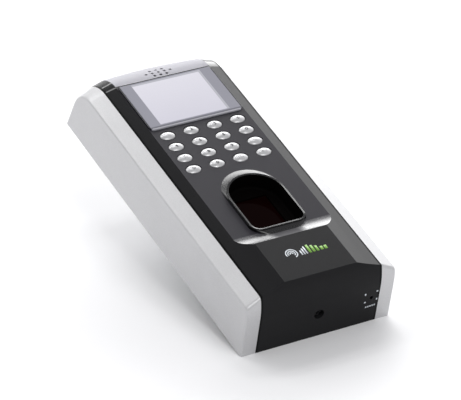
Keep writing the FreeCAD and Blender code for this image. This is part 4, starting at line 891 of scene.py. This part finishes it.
def window_finish():
    """Colour by place: the sight area with a painted shade along its top and right, the printed border, and
    the pane's dark edge.
    """
    material = finish_of(
        "window_print", BORDER_COLOUR, 0.16, size=0.8, depth=0.01, spread=0.06, rough_spread=0.03
    )
    tree = material.node_tree
    surface = tree.nodes["grain"]
    place = tree.nodes.new("ShaderNodeTexCoord")
    spot = tree.nodes.new("ShaderNodeSeparateXYZ")
    tree.links.new(place.outputs["Object"], spot.inputs[0])
    right = math_node(tree, "MULTIPLY", spot.outputs["X"], 1 / MM)
    across = math_node(tree, "ABSOLUTE", right)
    level = math_node(tree, "MULTIPLY", spot.outputs["Z"], 1 / MM)
    up_out = math_node(tree, "ABSOLUTE", math_node(tree, "SUBTRACT", level, (SIGHT[1] + SIGHT[2]) / 2))
    beyond = math_node(tree, "SUBTRACT", up_out, (SIGHT[2] - SIGHT[1]) / 2)
    outside = math_node(tree, "MAXIMUM", math_node(tree, "SUBTRACT", across, SIGHT[0]), beyond)
    fade = step_mask(tree, level, SIGHT[1], SIGHT[2])
    sight = blend_colours(tree, fade, SIGHT_LOW, SIGHT_TOP)
    # painted shade: a darker band along the sight area's top and right, for the shadow that the pane throws
    # on the display
    near_right = step_mask(tree, right, SIGHT[0] - SHADE, SIGHT[0] - SHADE + 0.25)
    near_top = step_mask(tree, level, SIGHT[2] - SHADE, SIGHT[2] - SHADE + 0.25)
    shade = math_node(tree, "MAXIMUM", near_right, near_top)
    sight = blend_colours(tree, shade, sight, SHADE_COLOUR)
    colour = blend_colours(tree, step_mask(tree, outside, 0.0, 0.12), sight, BORDER_COLOUR)
    above_foot = step_mask(tree, level, SIGHT[1] - FOOT_UNDER_SIGHT, SIGHT[1] - 0.6)
    foot = math_node(tree, "SUBTRACT", 1.0, above_foot)
    colour = blend_colours(tree, foot, colour, FOOT_COLOUR)
    above_line = step_mask(tree, level, WINDOW_LOW + LINE_TALL - 0.1, WINDOW_LOW + LINE_TALL)
    line = math_node(tree, "SUBTRACT", 1.0, above_line)
    colour = blend_colours(tree, line, colour, LINE_COLOUR)
    side_gap = step_mask(tree, across, WINDOW_HALF - SIDE_GAP, WINDOW_HALF - SIDE_GAP + 0.07)
    top_gap = step_mask(tree, level, WINDOW_HIGH - TOP_GAP, WINDOW_HIGH - TOP_GAP + 0.1)
    gap = math_node(tree, "MAXIMUM", side_gap, top_gap)
    tree.links.new(blend_colours(tree, gap, colour, GAP_COLOUR), surface.inputs["Colour"])
    return material


window = softened("display_window", 0.1, steps=2)
window.data.materials.append(window_finish())


# ------------------------------------------------------------------ the sensor
# A glass prism behind a deep red filter, on which the finger rests, lit from its top edge.
# It sits in the tub of the finger guide.
def cad_finish(material, *names):
    """Gives CAD nodes that keep their own surface a finish."""
    for name in names:
        mesh = frame["nodes"][name].data
        mesh.materials.clear()
        mesh.materials.append(material)


prism_glass = finish_of(
    "prism_glass", (0.004, 0.0006, 0.0006), 0.04, size=2.0, depth=0.01, spread=0.3, Specular_IOR_Level=0.02
)
cad_finish(prism_glass, "sensor_prism")


# ------------------------------------------------------------------ the marks on the front and the end
# Pad-printed marks: white arcs and bars with green dashes on the plateau, and on the end four white
# ticks and a row of dots about the reset hole.
PLATEAU = -34.9
PRINT_PROUD, PRINT_THICK = 0.03, 0.02
ARC_SPOT, ARC_HALF_WIDE = (-6.6, 21.6), 0.3


def printed(name, polygons, ink, depth, base_at):
    """Flat polygons in x and height, laid a hair in front of the plane at the depth."""
    flat, faces = flat_shapes(polygons)
    points = np.column_stack([flat[:, 0], np.full(len(flat), depth - PRINT_PROUD), flat[:, 1] + base_at])
    piece = add_mesh(name, points, faces)
    ink_film(piece, PRINT_THICK)
    piece.data.materials.append(ink)
    return belongs(piece, "black_plastic")


white_ink = finish_of("white_ink", (0.62, 0.66, 0.70), 0.5, size=0.5, depth=0.05, spread=0.1)
green_ink = finish_of("green_ink", (0.20, 0.42, 0.06), 0.5, size=0.5, depth=0.05, spread=0.1)
whorl = []
for radius in (0.7, 1.75, 2.8):
    whorl += ring(*ARC_SPOT, radius + ARC_HALF_WIDE, radius - ARC_HALF_WIDE, -20 - 18 * radius, 200)
whorl += [bar(-1.9 + 1.3 * k, 20.7 + 0.5 * k, 0.75, 3.0 + k) for k in range(3)]
printed("mark_white", whorl, white_ink, PLATEAU, BASE)
dashes = [bar(2.6 + 2.0 * k, 22.0 - 0.45 * k, 1.3, 5.4 - 0.9 * k) for k in range(3)]
dashes += [bar(8.9 + 2.1 * k, 20.5, 1.5, 2.4) for k in range(2)]
printed("mark_green", dashes, green_ink, PLATEAU, BASE)


def end_print(name, polygons):
    """Flat polygons in x and depth, laid a hair under the bottom end's surface."""
    flat, faces = flat_shapes(polygons)
    points = np.column_stack([flat[:, 0], flat[:, 1], bottom_end(flat[:, 1]) - PRINT_PROUD])
    piece = add_mesh(name, points, faces)
    ink_film(piece, PRINT_THICK)
    piece.data.materials.append(white_ink)
    return belongs(piece, "black_plastic")


ticks = [bar(24.5, -17.2, 0.75, 1.1), bar(30.9, -17.6, 0.9, 0.8)]
ticks += [bar(24.9, -12.4, 0.9, 0.8), bar(31.3, -12.8, 0.7, 1.0)]
ticks += [bar(25.9 + 1.15 * k, -9.3 - 0.06 * k, 0.7, 0.85) for k in range(5)]
end_print("reset_marks", ticks)


# ------------------------------------------------------------------ the inside and the back
# Finishes for the pieces that keep their own surfaces: the textured cover and zinc-plated plate
# behind, the screws, and the boards, switches and plugs that the casing hides.
# By slot: material name, colour, roughness, grain size, depth and spread, metallic.
SLOT_LOOKS = {
    "black_plastic": ("moulded_black", (0.012, 0.012, 0.013), 0.45, 0.35, 0.4, 0.4, 0.0),
    "dark_plastic": ("textured_black", (0.022, 0.022, 0.024), 0.5, 0.45, 0.6, 0.4, 0.0),
    "clear_glass": ("clear_glass", (0.02, 0.02, 0.022), 0.05, 2.0, 0.01, 0.2, 0.0),
    "display_glass": ("display_glass", (0.25, 0.27, 0.30), 0.1, 1.0, 0.02, 0.1, 0.0),
    "light_guide": ("light_guide", (0.70, 0.72, 0.74), 0.25, 0.8, 0.05, 0.1, 0.0),
    "bare_steel": ("plated_steel", (0.55, 0.56, 0.58), 0.36, 0.9, 0.15, 0.25, 1.0),
    "tin_plate": ("tin_plate", (0.62, 0.63, 0.64), 0.28, 0.8, 0.1, 0.15, 1.0),
    "circuit_board": ("board_green", (0.015, 0.10, 0.035), 0.32, 0.5, 0.1, 0.3, 0.0),
    "silicone": ("silicone", (0.28, 0.29, 0.31), 0.55, 0.6, 0.1, 0.1, 0.0),
    "foam": ("foam", (0.03, 0.03, 0.033), 0.95, 0.5, 1.0, 0.9, 0.0),
    "adhesive": ("adhesive", (0.05, 0.05, 0.055), 0.7, 0.6, 0.1, 0.2, 0.0),
    "film": ("film", (0.30, 0.14, 0.03), 0.3, 0.6, 0.05, 0.2, 0.0),
    "chip": ("chip", (0.02, 0.02, 0.022), 0.4, 0.2, 0.2, 0.3, 0.0),
    "relay_case": ("relay_case", (0.03, 0.09, 0.26), 0.35, 0.5, 0.1, 0.1, 0.0),
    "terminal_green": ("terminal_green", (0.04, 0.24, 0.09), 0.4, 0.4, 0.2, 0.15, 0.0),
    "lamp": ("lamp", (0.55, 0.06, 0.05), 0.2, 0.8, 0.03, 0.1, 0.0),
    "cell_steel": ("cell_steel", (0.65, 0.65, 0.65), 0.25, 0.6, 0.1, 0.1, 1.0),
    "screw_steel": ("screw_steel", (0.52, 0.53, 0.56), 0.3, 0.25, 0.2, 0.2, 1.0),
    "black_screw": ("black_screw", (0.010, 0.010, 0.011), 0.5, 0.25, 0.3, 0.3, 0.0),
    "cone_paper": ("cone_paper", (0.035, 0.035, 0.035), 0.8, 0.3, 0.5, 0.5, 0.0),
}
FINISHES = {
    slot: finish_of(name, colour, rough, size, depth, spread, Metallic=metal)
    for slot, (name, colour, rough, size, depth, spread, metal) in SLOT_LOOKS.items()
}
for name, obj in frame["nodes"].items():
    kept = obj.data.materials[0].name.split(".")[0] if obj.data.materials else ""
    if not obj.hide_render and kept in FINISHES:
        cad_finish(FINISHES[kept], name)
